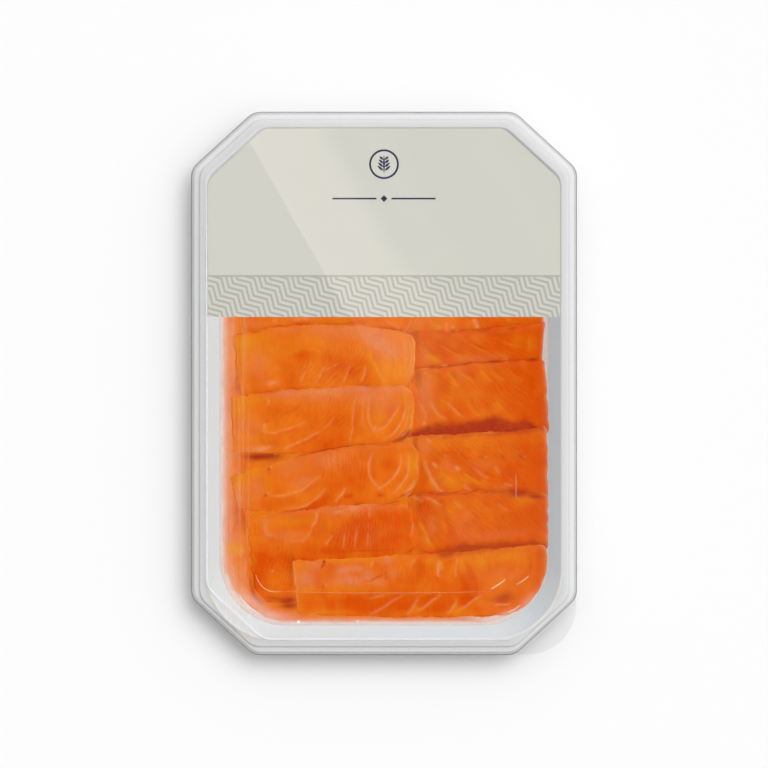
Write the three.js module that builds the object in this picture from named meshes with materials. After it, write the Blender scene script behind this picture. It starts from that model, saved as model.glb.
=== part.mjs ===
// A flat retail pack of sliced smoked salmon: a white thermoformed tray with cut corners, two
// columns of overlapping slices on a bed of salmon, one long slice across the foot end, and a
// clear film sealed over the flange with a peel corner.
//
// Frame: millimetres, +Z up, the tray's base on z = 0, centred in X and Y. +Y points to the
// label end, -Y to the foot end with the peel corner (at +X, -Y).

import * as THREE from 'three';

// ---- Driving dimensions -------------------------------------------------------------------

const PACK_WIDTH = 135;
const PACK_LENGTH = 190;
const RIM_HEIGHT = 11.4;
const SHEET = 0.6;

// The flange corners are cut off along a straight line; the cut meets the sides here.
const CUT_X = 21.8;
const CUT_Y = 20;
const CUT_BLEND = 2.8;
const CUT_DEPTH = (CUT_X * CUT_Y) / Math.hypot(CUT_X, CUT_Y);

// The lid film, its peel corner and the soft crease of its middle panel.
const FILM = 0.25;
const PEEL_RADIUS = 17;
const PANEL_SIDE_INSET = 20.9;
const PANEL_END_INSET = 22;
const PANEL_RADIUS = 11;
const PANEL_DROP = 1;

// Salmon: slice thickness, clearance between slices, and the slope at which they overlap.
const SLICE = 1.95;
const SLICE_GAP = 0.25;
const LAYER = SLICE + SLICE_GAP;
const SLOPE = 0.1;
const STACK_HEIGHT = 1.6;
const SEAM_THICKNESS = 0.8;
const SEAM_TAPER = 9;
const RIPPLE = 0.2;
const BED_BOTTOM = 0.85;
const BED_TOP = 2.8;

// Steps round each corner of a ring, and the grid of a slice.
const CORNER_STEPS = 15;
const SLICE_COLUMNS = 8;
const SLICE_ROWS = [0, 0.03, 0.11, 0.24, 0.5, 0.76, 0.89, 0.97, 1];

// ---- Materials ----------------------------------------------------------------------------

const trayPlastic = () => new THREE.MeshStandardMaterial({ color: 0xeeeeec, roughness: 0.35, metalness: 0 });
const clearFilm = () => new THREE.MeshStandardMaterial({
  color: 0xe6e9ea, roughness: 0.12, metalness: 0, transparent: true, opacity: 0.35,
});
const salmonFlesh = (color) => () => new THREE.MeshStandardMaterial({ color, roughness: 0.3, metalness: 0 });

const SALMON_LIGHT = salmonFlesh(0xe8752a);
const SALMON_DEEP = salmonFlesh(0xdc6014);
const SALMON_BED = salmonFlesh(0xe38a52);

// ---- Rings: outlines that follow the pack's edge at an inset ------------------------------

// A cut corner in the first quadrant, from the +X side to the +Y side. The sides stand
// `inset` inside the pack's edge and the cut stands `cutInset` inside the pack's cut.
function cutCorner(cutInset) {
  return ([insetX, insetY]) => {
    const cornerX = PACK_WIDTH / 2;
    const cornerY = PACK_LENGTH / 2;
    const reach = 1 + cutInset / CUT_DEPTH;
    const sideEnd = new THREE.Vector2(cornerX - insetX, cornerY - CUT_Y * (reach - insetX / CUT_X));
    const endEnd = new THREE.Vector2(cornerX - CUT_X * (reach - insetY / CUT_Y), cornerY - insetY);
    const along = endEnd.clone().sub(sideEnd).normalize().multiplyScalar(CUT_BLEND);
    const leave = sideEnd.clone().add(along);
    const arrive = endEnd.clone().sub(along);
    const path = new THREE.Path();
    path.moveTo(sideEnd.x, sideEnd.y - CUT_BLEND);
    path.quadraticCurveTo(sideEnd.x, sideEnd.y, leave.x, leave.y);
    path.lineTo(arrive.x, arrive.y);
    path.quadraticCurveTo(endEnd.x, endEnd.y, endEnd.x - CUT_BLEND, endEnd.y);
    return path;
  };
}

// A corner rounded by a quarter circle.
function roundCorner(radius) {
  return ([insetX, insetY]) => {
    const centreX = PACK_WIDTH / 2 - insetX - radius;
    const centreY = PACK_LENGTH / 2 - insetY - radius;
    return new THREE.Path().absarc(centreX, centreY, radius, 0, Math.PI / 2, false);
  };
}

// One closed ring, counter-clockwise from the +X side, at one height. `corners` are the two
// corners of the label end, then the left and the right corner of the foot end.
function ring(insets, height, corners) {
  const quadrants = [[1, 1], [-1, 1], [-1, -1], [1, -1]];
  return quadrants.flatMap(([signX, signY], index) => {
    const points = corners[index](insets).getSpacedPoints(CORNER_STEPS);
    const ordered = signX * signY > 0 ? points : points.reverse();
    return ordered.map((point) => new THREE.Vector3(signX * point.x, signY * point.y, height));
  });
}

// A ring of the tray: cut corners at the label end, and at the foot end either cut corners
// or the round corners of the cavity.
function trayRing(inset, height, labelCut, footCorner) {
  const labelCorner = cutCorner(labelCut);
  return ring([inset, inset], height, [labelCorner, labelCorner, footCorner, footCorner]);
}

// ---- Closed solids from rings -------------------------------------------------------------

// The upper rings run from the outside in, the lower rings from the inside out. Each side
// is closed by a fan to its middle, and the last lower ring joins the first upper ring.
function solidOfRings(upperRings, lowerRings) {
  const rings = [...upperRings, ...lowerRings];
  const count = rings[0].length;
  const positions = rings.flat().flatMap((point) => point.toArray());
  const triangles = [];
  const strip = (from, to) => {
    for (let j = 0; j < count; j += 1) {
      const next = (j + 1) % count;
      const [a, b] = [from * count + j, from * count + next];
      const [c, d] = [to * count + next, to * count + j];
      triangles.push(a, b, c, a, c, d);
    }
  };
  const fan = (ringIndex, upward) => {
    const middle = positions.length / 3;
    positions.push(0, 0, rings[ringIndex][0].z);
    for (let j = 0; j < count; j += 1) {
      const edge = [ringIndex * count + j, ringIndex * count + ((j + 1) % count)];
      triangles.push(...(upward ? edge : edge.reverse()), middle);
    }
  };
  for (let i = 0; i < rings.length; i += 1) {
    if (i !== upperRings.length - 1) strip(i, (i + 1) % rings.length);
  }
  fan(upperRings.length - 1, true);
  fan(upperRings.length, false);
  return indexedGeometry(positions, triangles);
}

function indexedGeometry(positions, triangles) {
  const geometry = new THREE.BufferGeometry();
  geometry.setAttribute('position', new THREE.Float32BufferAttribute(positions, 3));
  geometry.setIndex(triangles);
  geometry.computeVertexNormals();
  return geometry;
}

// ---- Tray ---------------------------------------------------------------------------------

// The flange falls outward in two bands with a step between them and ends in a turned-down
// lip. Inside the rim the wall leans in and rounds into the flat floor.
function tray() {
  const rim = RIM_HEIGHT;
  const upper = [
    trayRing(0, rim - 2.9, 0, cutCorner(0)),
    trayRing(0.05, rim - 2.3, 0.05, cutCorner(0.05)),
    trayRing(0.35, rim - 1.75, 0.35, cutCorner(0.35)),
    trayRing(0.95, rim - 1.5, 0.95, cutCorner(0.9)),
    trayRing(1.15, rim - 1.1, 1.15, cutCorner(1.05)),
    trayRing(2.95, rim - 0.8, 2.95, cutCorner(2.1)),
    trayRing(3.3, rim - 0.32, 3.3, cutCorner(2.5)),
    trayRing(5.2, rim - 0.02, 5.6, roundCorner(25.2)),
    trayRing(5.6, rim - 0.06, 6.1, roundCorner(24.8)),
    trayRing(5.95, rim - 0.45, 6.5, roundCorner(24.4)),
    trayRing(6.3, rim - 1.3, 7, roundCorner(24.2)),
    trayRing(9.4, SHEET + 2, 10.5, roundCorner(23.6)),
    trayRing(9.95, SHEET + 0.9, 11.1, roundCorner(23.4)),
    trayRing(10.7, SHEET + 0.25, 11.9, roundCorner(23.2)),
    trayRing(11.6, SHEET, 12.8, roundCorner(23)),
  ];
  const lower = [
    trayRing(11.4, 0, 12.6, roundCorner(23.2)),
    trayRing(10.3, 0.3, 11.6, roundCorner(23.4)),
    trayRing(9.35, 1.25, 10.6, roundCorner(23.6)),
    trayRing(8.8, 2.5, 10, roundCorner(23.9)),
    trayRing(5.75, rim - 1.45, 6.4, roundCorner(24.6)),
    trayRing(5.35, rim - 0.8, 5.8, roundCorner(25)),
    trayRing(5.1, rim - 0.66, 5.5, roundCorner(25.3)),
    trayRing(3.75, rim - 0.9, 3.8, cutCorner(2.7)),
    trayRing(3.35, rim - 1.4, 3.4, cutCorner(2.4)),
    trayRing(1.65, rim - 1.7, 1.65, cutCorner(1.5)),
    trayRing(1.2, rim - 2.1, 1.2, cutCorner(1.2)),
    trayRing(0.85, rim - 2.3, 0.85, cutCorner(0.85)),
    trayRing(0.65, rim - 2.9, 0.65, cutCorner(0.65)),
  ];
  return solidOfRings(upper, lower);
}

// ---- Lid film -----------------------------------------------------------------------------

// The film lies on the flange, falls a little to a flat middle panel with round corners, and
// runs out past the cut corner at +X, -Y as the peel corner.
function lidFilm() {
  const rim = RIM_HEIGHT;
  const seal = (inset, height, labelCut, foot) => {
    const label = cutCorner(labelCut);
    return { insets: [inset, inset], height, corners: [label, label, foot, foot] };
  };
  const panel = (extra, height) => {
    const corner = roundCorner(PANEL_RADIUS - extra);
    return {
      insets: [PANEL_SIDE_INSET + extra, PANEL_END_INSET + extra],
      height,
      corners: [corner, corner, corner, corner],
    };
  };
  const edge = seal(0.4, rim - 1, 0.4, cutCorner(0.4));
  edge.corners[3] = roundCorner(PEEL_RADIUS);
  const lines = [
    edge,
    seal(1.15, rim - 1, 1.15, cutCorner(1)),
    seal(3.3, rim - 0.2, 3.3, cutCorner(2.45)),
    seal(5.3, rim + 0.1, 5.7, roundCorner(25.1)),
    seal(6, rim + 0.02, 6.8, cutCorner(6.8)),
    panel(0, rim - PANEL_DROP + 0.05),
    panel(0.8, rim - PANEL_DROP),
  ];
  const raised = (line, lift) => ring(line.insets, line.height + lift, line.corners);
  const upper = lines.map((line) => raised(line, FILM));
  const lower = [...lines].reverse().map((line) => raised(line, 0));
  return solidOfRings(upper, lower);
}

// ---- Salmon -------------------------------------------------------------------------------

// The surface that every slice lies along: a slope that falls to the foot end, with a slow
// ripple. Slices keep apart because each one lies a whole number of half layers above it.
function lie(x, y) {
  const ripple = Math.sin((2 * Math.PI * x) / 71 + 0.6) * Math.cos((2 * Math.PI * y) / 83);
  return STACK_HEIGHT + SLOPE * y + RIPPLE * ripple;
}

// How far a rounded end draws in at a distance from the edge beside it.
function drawIn(radius, distance) {
  const short = Math.max(radius - distance, 0);
  return radius - Math.sqrt(radius * radius - short * short);
}

// A long edge: its Y at a share s of the length, a parabola through both ends and the middle.
function edgeLine([start, middle, end], s) {
  return start * (1 - s) * (1 - 2 * s) + middle * 4 * s * (1 - s) + end * s * (2 * s - 1);
}

// Full thickness along the slice, thinned towards the end that meets the other column.
function thicknessAt(spec, x) {
  if (!spec.seam) return SLICE;
  const fromSeam = spec.seam === 'right' ? spec.right - x : x - spec.left;
  const share = THREE.MathUtils.clamp((fromSeam - 3) / SEAM_TAPER, 0, 1);
  return THREE.MathUtils.lerp(SEAM_THICKNESS, SLICE, share);
}

// One slice: rows run from its lower edge (v = 0) to its upper edge (v = 1), columns from its
// left end to its right end, drawn in at the corners by the corner radii.
function slice(spec) {
  const width = SLICE_COLUMNS + 1;
  const rows = SLICE_ROWS.length;
  const top = [];
  const bottom = [];
  const depth = spec.upper[1] - spec.lower[1];
  for (const v of SLICE_ROWS) {
    const fromTop = (1 - v) * depth;
    const fromFoot = v * depth;
    const left = spec.left + drawIn(spec.radii.topLeft, fromTop) + drawIn(spec.radii.footLeft, fromFoot);
    const right = spec.right - drawIn(spec.radii.topRight, fromTop) - drawIn(spec.radii.footRight, fromFoot);
    for (let i = 0; i < width; i += 1) {
      const x = THREE.MathUtils.lerp(left, right, i / SLICE_COLUMNS);
      const share = (x - spec.left) / (spec.right - spec.left);
      const y = THREE.MathUtils.lerp(edgeLine(spec.lower, share), edgeLine(spec.upper, share), v);
      const z = lie(x, y) + spec.layer * LAYER;
      bottom.push(x, y, z);
      top.push(x, y, z + thicknessAt(spec, x));
    }
  }
  const offset = rows * width;
  const triangles = [];
  const quad = (a, b, c, d) => triangles.push(a, b, c, a, c, d);
  for (let r = 0; r < rows - 1; r += 1) {
    for (let i = 0; i < SLICE_COLUMNS; i += 1) {
      const [a, b] = [r * width + i, r * width + i + 1];
      const [c, d] = [b + width, a + width];
      quad(a, b, c, d);
      quad(offset + b, offset + a, offset + d, offset + c);
    }
  }
  const border = [];
  for (let i = 0; i < SLICE_COLUMNS; i += 1) border.push(i);
  for (let r = 0; r < rows - 1; r += 1) border.push(r * width + SLICE_COLUMNS);
  for (let i = SLICE_COLUMNS; i > 0; i -= 1) border.push((rows - 1) * width + i);
  for (let r = rows - 1; r > 0; r -= 1) border.push(r * width);
  border.forEach((a, index) => {
    const b = border[(index + 1) % border.length];
    quad(offset + a, offset + b, b, a);
  });
  return indexedGeometry([...top, ...bottom], triangles);
}

// The bed that the slices lie on, rounded over at its border, out to the cavity wall.
function bed() {
  const bedRing = (inset, height, cut, radius) => {
    const [label, foot] = [cutCorner(cut), roundCorner(radius)];
    return ring([inset, inset + 0.3], height, [label, label, foot, foot]);
  };
  const upper = [
    bedRing(11.5, BED_BOTTOM + 0.5, 12.9, 22.6),
    bedRing(10.9, BED_TOP - 0.7, 12.3, 23),
    bedRing(11.4, BED_TOP - 0.15, 12.8, 22.6),
    bedRing(12.6, BED_TOP, 14, 21.6),
  ];
  return solidOfRings(upper, [bedRing(12.2, BED_BOTTOM, 13.6, 22)]);
}

const SQUARE_END = 2.5;
const CAVITY_END = 15;

function corners(topLeft, topRight, footLeft, footRight) {
  return { topLeft, topRight, footLeft, footRight };
}

// Left column, from the label end to the foot end: rounded at the seam with the right column
// and square at the wall. `upper` and `lower` hold the Y of each long edge at the left end,
// the middle and the right end.
const LEFT_SLICES = [
  { left: -52.5, right: 11, upper: [78, 79, 79], lower: [59, 62.5, 60.5] },
  { left: -52, right: 11.4, upper: [61, 64.5, 62.5], lower: [37.5, 41, 38.5] },
  { left: -52.4, right: 10.6, upper: [39.5, 43, 40.5], lower: [14.5, 18.5, 15.5] },
  { left: -52.6, right: 11.4, upper: [16.9, 20.7, 17.6], lower: [-4.5, -3.6, -2.2] },
  { left: -53.6, right: 10.9, upper: [-5.6, -1.4, -0.8], lower: [-24.8, -25, -21.5] },
  { left: -53.8, right: 12.1, upper: [-32.5, -23.4, -21.2], lower: [-43.5, -45.3, -39.5] },
  { left: -47.6, right: 10.2, upper: [-47.3, -43.1, -42.1], lower: [-75.5, -77, -72] },
];

// Right column: square at the wall and tucked under the rounded ends of the left column.
const RIGHT_SLICES = [
  { left: 8, right: 56, upper: [79, 79, 78], lower: [61.5, 61, 61] },
  { left: 8, right: 56, upper: [63.5, 63, 63], lower: [41, 40, 40] },
  { left: 8, right: 55.6, upper: [43, 42, 42], lower: [16.8, 16.8, 19.5] },
  { left: 7.6, right: 55.2, upper: [18.6, 18.8, 21.8], lower: [3, 5, 6.4] },
  { left: 8.4, right: 55.6, upper: [4.4, 7, 8.4], lower: [-20, -19.2, -17.5] },
  { left: 7.4, right: 56.4, upper: [-18.2, -17.2, -15.2], lower: [-41, -39.8, -41] },
  { left: 8.4, right: 56.8, upper: [-39.2, -37.9, -39], lower: [-62, -60.5, -58] },
];

function leftSlices() {
  return LEFT_SLICES.map((spec, index) => {
    const first = index === 0;
    const last = index === LEFT_SLICES.length - 1;
    const radii = corners(first ? CAVITY_END : 3, 6, last ? 7 : SQUARE_END, 8.5);
    return { ...spec, radii, seam: 'right', layer: index - 1.5, name: `slice_left_${index + 1}` };
  });
}

function rightSlices() {
  return RIGHT_SLICES.map((spec, index) => {
    const radii = corners(7, index === 0 ? CAVITY_END : SQUARE_END, SQUARE_END, SQUARE_END);
    return { ...spec, radii, seam: 'left', layer: index - 2, name: `slice_right_${index + 1}` };
  });
}

// The last slice lies across the foot of both columns; its far corner follows the cavity.
const FOOT_SLICE = {
  name: 'slice_foot',
  left: -32.6,
  right: 56.2,
  upper: [-61.8, -59.6, -55.5],
  lower: [-79.4, -81, -80.4],
  radii: corners(1.5, SQUARE_END, 1.5, 17),
  layer: 5.5,
};

// ---- Assembly -----------------------------------------------------------------------------

function named(name, geometry, material) {
  const mesh = new THREE.Mesh(geometry, material());
  mesh.name = name;
  return mesh;
}

const pack = new THREE.Group();
pack.add(named('tray', tray(), trayPlastic));
pack.add(named('lid_film', lidFilm(), clearFilm));
pack.add(named('salmon_bed', bed(), SALMON_BED));
for (const spec of leftSlices()) pack.add(named(spec.name, slice(spec), SALMON_LIGHT));
for (const spec of rightSlices()) pack.add(named(spec.name, slice(spec), SALMON_DEEP));
pack.add(named(FOOT_SLICE.name, slice(FOOT_SLICE), SALMON_LIGHT));

export default pack;
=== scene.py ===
"""The looks of a flat retail pack of sliced smoked salmon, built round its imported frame.

Axes: +Z up out of the film, +Y towards the label end, +X towards the side with the peel corner.
Tables of places hold millimetres and are turned to metres where they are used.
"""

import math
from collections import namedtuple

import bpy
import numpy as np
from bpy.props import FloatProperty, FloatVectorProperty, PointerProperty
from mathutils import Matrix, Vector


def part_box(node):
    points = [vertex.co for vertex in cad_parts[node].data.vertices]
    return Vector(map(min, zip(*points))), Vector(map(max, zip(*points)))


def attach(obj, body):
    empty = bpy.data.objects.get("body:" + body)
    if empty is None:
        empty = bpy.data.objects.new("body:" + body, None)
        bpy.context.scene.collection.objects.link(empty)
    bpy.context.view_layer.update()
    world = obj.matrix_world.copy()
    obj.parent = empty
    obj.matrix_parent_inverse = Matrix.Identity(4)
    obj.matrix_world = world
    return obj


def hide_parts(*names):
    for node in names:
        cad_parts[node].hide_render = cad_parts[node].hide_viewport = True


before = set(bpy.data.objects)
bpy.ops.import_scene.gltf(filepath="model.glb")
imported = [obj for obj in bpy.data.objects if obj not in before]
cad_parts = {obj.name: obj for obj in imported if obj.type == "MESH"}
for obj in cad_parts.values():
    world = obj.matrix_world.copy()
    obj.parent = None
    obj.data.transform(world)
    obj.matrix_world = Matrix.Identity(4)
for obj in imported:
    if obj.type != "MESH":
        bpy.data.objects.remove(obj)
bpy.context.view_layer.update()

bl_info = {
    "name": "Smoked Salmon Pack",
    "version": (1, 0, 0),
    "blender": (4, 5, 0),
    "location": "View3D > Sidebar > Salmon Pack",
    "description": "A sealed tray of sliced smoked salmon with its film, label and studio",
    "category": "Add Mesh",
}

MM = 0.001
TRAY_LOW, TRAY_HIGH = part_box("tray")
BED_LOW, BED_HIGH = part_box("salmon_bed")

# Steps round each corner of a ring, along each straight side, and points on each bend of a corner cut.
CORNER_STEPS = 40
SIDE_STEPS = 6
BED_SIDE_STEPS = 180
BEND_POINTS = 13
CUT_BLEND = 2.8 * MM  # how far a bend of a corner cut reaches, at most BLEND_SHARE of the cut
BLEND_SHARE = 0.45
QUADRANTS = ((1, 1), (-1, 1), (-1, -1), (1, -1))


def linear(hex_colour):
    """Linear RGBA of an sRGB hex colour: each channel c becomes ((c + 0.055) / 1.055) to the power 2.4,
    or c / 12.92 where it is very dark."""
    channels = np.array([int(hex_colour[k:k + 2], 16) for k in (1, 3, 5)]) / 255
    bright = ((channels + 0.055) / 1.055) ** 2.4
    return (*np.where(channels <= 0.04045, channels / 12.92, bright).tolist(), 1.0)


# ---- Sizes and colours ------------------------------------------------------------------------


def length(name, description, default):
    return FloatProperty(name=name, description=description, default=default, unit="LENGTH", precision=5)


def tint(name, description, hex_colour):
    return FloatVectorProperty(
        name=name, description=description, default=linear(hex_colour), size=4, subtype="COLOR", min=0, max=1
    )


class TraySizes(bpy.types.PropertyGroup):
    width: length("Width", "Outer width of the flange", TRAY_HIGH.x - TRAY_LOW.x)
    length: length("Length", "Outer length of the flange", TRAY_HIGH.y - TRAY_LOW.y)
    rim: length("Rim height", "Height of the rim that the film is sealed to", TRAY_HIGH.z + 0.02 * MM)
    sheet: length("Sheet", "Thickness of the formed sheet", 0.6 * MM)
    cut_x: length("Corner cut X", "How far from the corner the cut meets the end", 21.8 * MM)
    cut_y: length("Corner cut Y", "How far from the corner the cut meets the side", 20 * MM)
    colour: tint("Sheet colour", "White of the flange and the outer side", "#E8E8E8")
    # The cavity's white is greyer and cooler than the flange's: painted shade on the walls and floor.
    cavity: tint("Cavity colour", "White of the cavity", "#E3E6EA")
    # This grey is painted shade in the flange's steps, its sealed band and along its cut edge.
    flange_shade: tint("Trim colour", "Grey of the cut edge and the scored steps", "#606267")


class LidSizes(bpy.types.PropertyGroup):
    film: length("Film", "Thickness of the film", 0.25 * MM)
    peel_radius: length("Peel radius", "Radius of the peel corner", 17 * MM)
    fold_x: length("Fold X", "Half width of the folded panel line", 46.8 * MM)
    fold_y: length("Fold Y", "How far the folded panel line lies from the middle", 73 * MM)
    # White of the painted sheen on the seal line and the gleams.
    sheen: tint("Haze", "Colour of sealed and cut film", "#F7F9FF")
    # This tint also colours the painted sheen over the cavity's wall.
    crease: tint("Crease", "Colour of a fold's gleam", "#FFE6C0")


class LabelSizes(bpy.types.PropertyGroup):
    inset: length("Inset", "How far the print stays inside the flange's edge", 5.7 * MM)
    cut_inset: length("Cut inset", "How far the print stays inside the corner cut", 6.8 * MM)
    foot: length("Foot line", "Y where the print ends", 23.2 * MM)
    band: length("Band", "Height of the zigzag band", 14.6 * MM)
    zigzag: length("Zigzag", "Length of one zigzag along its diagonal", 8.15 * MM)
    zigzag_gap: length("Zigzag gap", "Distance from one zigzag line to the next", 2.04 * MM)
    medallion: length("Medallion", "Outer radius of the round ornament", 5.2 * MM)
    field: tint("Field ink", "Warm grey of the printed field", "#DFDFD4")
    pale: tint("Pale ink", "Ground of the zigzag band", "#E0DFD7")
    line: tint("Line ink", "Zigzags and border line", "#C0BFB3")
    navy: tint("Ornament ink", "Ink of the ornament", "#1C1C58")


class SalmonSizes(bpy.types.PropertyGroup):
    slice: length("Slice", "Thickness of a slice", 1.95 * MM)
    gap: length("Gap", "Clearance between two slices", 0.25 * MM)
    round: length("Edge rounding", "Width of a slice's rounded edge", 0.4 * MM)
    flesh: tint("Flesh", "Lighter flesh", "#FC881E")
    # This orange serves deeper flesh and the painted shade in the joints and beside lines.
    deep: tint("Deep flesh", "Darkest orange flesh", "#E85600")
    # This pink serves milky bloom and the painted highlight along the slices' upper edges.
    rosy_and_highlight: tint("Rosy", "Milky pink bloom", "#F28C5C")
    # This yellow serves dried tips and the painted light beside lines and along the foot slice's upper edge.
    tip: tint("Tip", "Yellow dried tips", "#F6981C")
    # This pale serves the real fat lines and the painted light inside the slices' ends.
    fat: tint("Fat", "Pale fat lines", "#FFB47C")
    # This brown serves the real dark muscle and the painted shade in the joints between slices.
    meat_and_shade: tint("Brown meat", "Dark muscle along the back", "#B63016")
    # This pale is painted sheen along the bed's border and where the slices meet the wall.
    border_sheen: tint("Border", "Pressed border of the bed against the tray", "#F2E0DC")


class StudioSizes(bpy.types.PropertyGroup):
    lens: FloatProperty(name="Lens", description="Focal length", default=200, unit="CAMERA")
    view_width: length("View width", "Width seen at the rim", 268 * MM)
    key: FloatProperty(name="Key", description="Strength of the key light", default=1.34)
    key_angle: FloatProperty(name="Key angle", description="How wide the key light looks from the pack",
                             default=math.radians(44), subtype="ANGLE")
    fill: FloatProperty(name="Fill", description="Strength of the surrounding light", default=0.81)
    floor: tint("Floor", "White of the table", "#F2F2F2")


# ---- Rings: outlines that follow the pack's edge at an inset ------------------------------------


def through(start, middle, end, share):
    """The parabola through three values: start at share 0, middle at one half, end at 1."""
    return (
        start * (1 - share) * (1 - 2 * share)
        + 4 * middle * share * (1 - share)
        + end * share * (2 * share - 1)
    )


def smooth(low, high, value):
    """0 below low, 1 above high, and the cubic 3 t^2 - 2 t^3 between them."""
    share = np.clip((value - low) / (high - low), 0, 1)
    return share * share * (3 - 2 * share)


def resampled(points, steps):
    """steps + 1 points spaced evenly along an open line of points."""
    along = np.concatenate([[0], np.cumsum(np.linalg.norm(np.diff(points, axis=0), axis=1))])
    at = np.linspace(0, along[-1], steps + 1)
    return np.stack([np.interp(at, along, points[:, axis]) for axis in range(points.shape[1])], axis=1)


def cut_corner(tray, inset_x, inset_y, cut_inset):
    """A corner cut off along a straight line, from the +X side to the +Y side. The sides stand inset inside
    the pack's edge, the cut stands cut_inset inside the pack's cut, and a parabola blends each bend."""
    depth = tray.cut_x * tray.cut_y / math.hypot(tray.cut_x, tray.cut_y)
    reach = 1 + cut_inset / depth
    corner = np.array([tray.width, tray.length]) / 2
    side_end = corner - (inset_x, tray.cut_y * (reach - inset_x / tray.cut_x))
    end_end = corner - (tray.cut_x * (reach - inset_y / tray.cut_y), inset_y)
    cut = np.linalg.norm(end_end - side_end)
    blend = min(CUT_BLEND, BLEND_SHARE * cut)
    along = (end_end - side_end) / cut * blend
    share = np.linspace(0, 1, BEND_POINTS)[:, None]

    def bend(a, b, c):
        return (1 - share) ** 2 * a + 2 * share * (1 - share) * b + share * share * c

    first = bend(side_end - (0, blend), side_end, side_end + along)
    last = bend(end_end - along, end_end, end_end - (blend, 0))
    return resampled(np.concatenate([first, last]), CORNER_STEPS)


def round_corner(tray, inset_x, inset_y, radius):
    """A quarter circle of that radius, from the +X side to the +Y side."""
    centre = np.array([tray.width / 2 - inset_x, tray.length / 2 - inset_y]) - radius
    angle = np.linspace(0, math.pi / 2, CORNER_STEPS + 1)
    return centre + radius * np.stack([np.cos(angle), np.sin(angle)], axis=1)


def ring(corners, height, side_steps=SIDE_STEPS):
    """One closed ring at a height, counter-clockwise from the +X side: each corner mirrored into its
    quadrant, joined by straight sides of side_steps points."""
    placed = []
    for signs, corner in zip(QUADRANTS, corners):
        mirrored = corner * signs
        placed.append(mirrored if signs[0] * signs[1] > 0 else mirrored[::-1])
    share = np.linspace(0, 1, side_steps + 2)[1:-1, None]
    parts = []
    for here, after in zip(placed, placed[1:] + placed[:1]):
        parts += [here, here[-1] * (1 - share) + after[0] * share]
    flat = np.concatenate(parts)
    return np.column_stack([flat, np.full(len(flat), height)])


def pack_ring(tray, insets, cut, foot_kind, foot_size, height, side_steps=SIDE_STEPS):
    """The ring at a height for one line of a profile, whose insets from the sides, the ends and the label
    end's cuts are in millimetres. The foot end's corners are cut at foot_size or round with that radius."""
    inset_x, inset_y = (inset * MM for inset in insets)
    make_foot = cut_corner if foot_kind == "cut" else round_corner
    label = cut_corner(tray, inset_x, inset_y, cut * MM)
    foot = make_foot(tray, inset_x, inset_y, foot_size * MM)
    return ring([label, label, foot, foot], height, side_steps)


def rounded_off(rings, times):
    """Rings with the bends of their profile cut off: each step gives two rings, at a quarter and three
    quarters of it, and the first and the last ring stay."""
    for _ in range(times):
        near = 0.75 * rings[:-1] + 0.25 * rings[1:]
        far = 0.25 * rings[:-1] + 0.75 * rings[1:]
        between = np.stack([near, far], axis=1).reshape(-1, *rings.shape[1:])
        rings = np.concatenate([rings[:1], between, rings[-1:]])
    return rings


# ---- Meshes -----------------------------------------------------------------------------------


def lofted(rings):
    """Points and faces of a closed solid. The rings run from the middle of its top, out over its edge and
    in to the middle of its underside, and a fan to the ring's middle closes each end."""
    count, around = rings.shape[:2]
    row, column = np.meshgrid(np.arange(count - 1), np.arange(around), indexing="ij")
    after = (column + 1) % around
    here, outer = row * around, (row + 1) * around
    quads = np.stack([here + column, outer + column, outer + after, here + after], axis=-1).reshape(-1, 4)
    first = np.arange(around)
    second = (first + 1) % around
    last = (count - 1) * around
    top = np.stack([np.full(around, count * around), first, second], axis=1)
    foot = np.stack([np.full(around, count * around + 1), last + second, last + first], axis=1)
    middles = rings[[0, -1]].mean(axis=1)
    return np.concatenate([rings.reshape(count * around, -1), middles]), [quads, top, foot]


def grid_shell(top, foot):
    """Points and faces of a closed sheet between two grids of the same size, rows towards +Y and columns
    towards +X, with a strip round the border."""
    rows, columns = top.shape[:2]
    row, column = np.meshgrid(np.arange(rows - 1), np.arange(columns - 1), indexing="ij")
    a = (row * columns + column).ravel()
    up = np.stack([a, a + 1, a + 1 + columns, a + columns], axis=1)
    offset = rows * columns
    index = np.arange(offset).reshape(rows, columns)
    border = np.concatenate([index[0, :-1], index[:-1, -1], index[-1, :0:-1], index[:0:-1, 0]])
    after = np.roll(border, -1)
    side = np.stack([offset + border, offset + after, after, border], axis=1)
    points = np.concatenate([top.reshape(-1, 3), foot.reshape(-1, 3)])
    return points, [up, offset + up[:, ::-1], side]


def prism(outlines, low, high):
    """Points and faces of flat closed plates, one for each counter-clockwise outline, from low to high:
    a strip round each outline and a fan to its middle above and below."""
    points, faces, start = [], [], 0
    for flat in outlines:
        count = len(flat)
        loop = np.vstack([flat, flat.mean(axis=0)])
        points += [np.column_stack([loop, np.full(count + 1, z)]) for z in (high, low)]
        first = np.arange(count)
        second = (first + 1) % count
        middle = np.full(count, count)
        foot = count + 1
        faces.append(start + np.stack([middle, first, second], axis=1))
        faces.append(start + foot + np.stack([middle, second, first], axis=1))
        faces.append(start + np.stack([foot + first, foot + second, second, first], axis=1))
        start += 2 * (count + 1)
    return np.concatenate(points), faces


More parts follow.
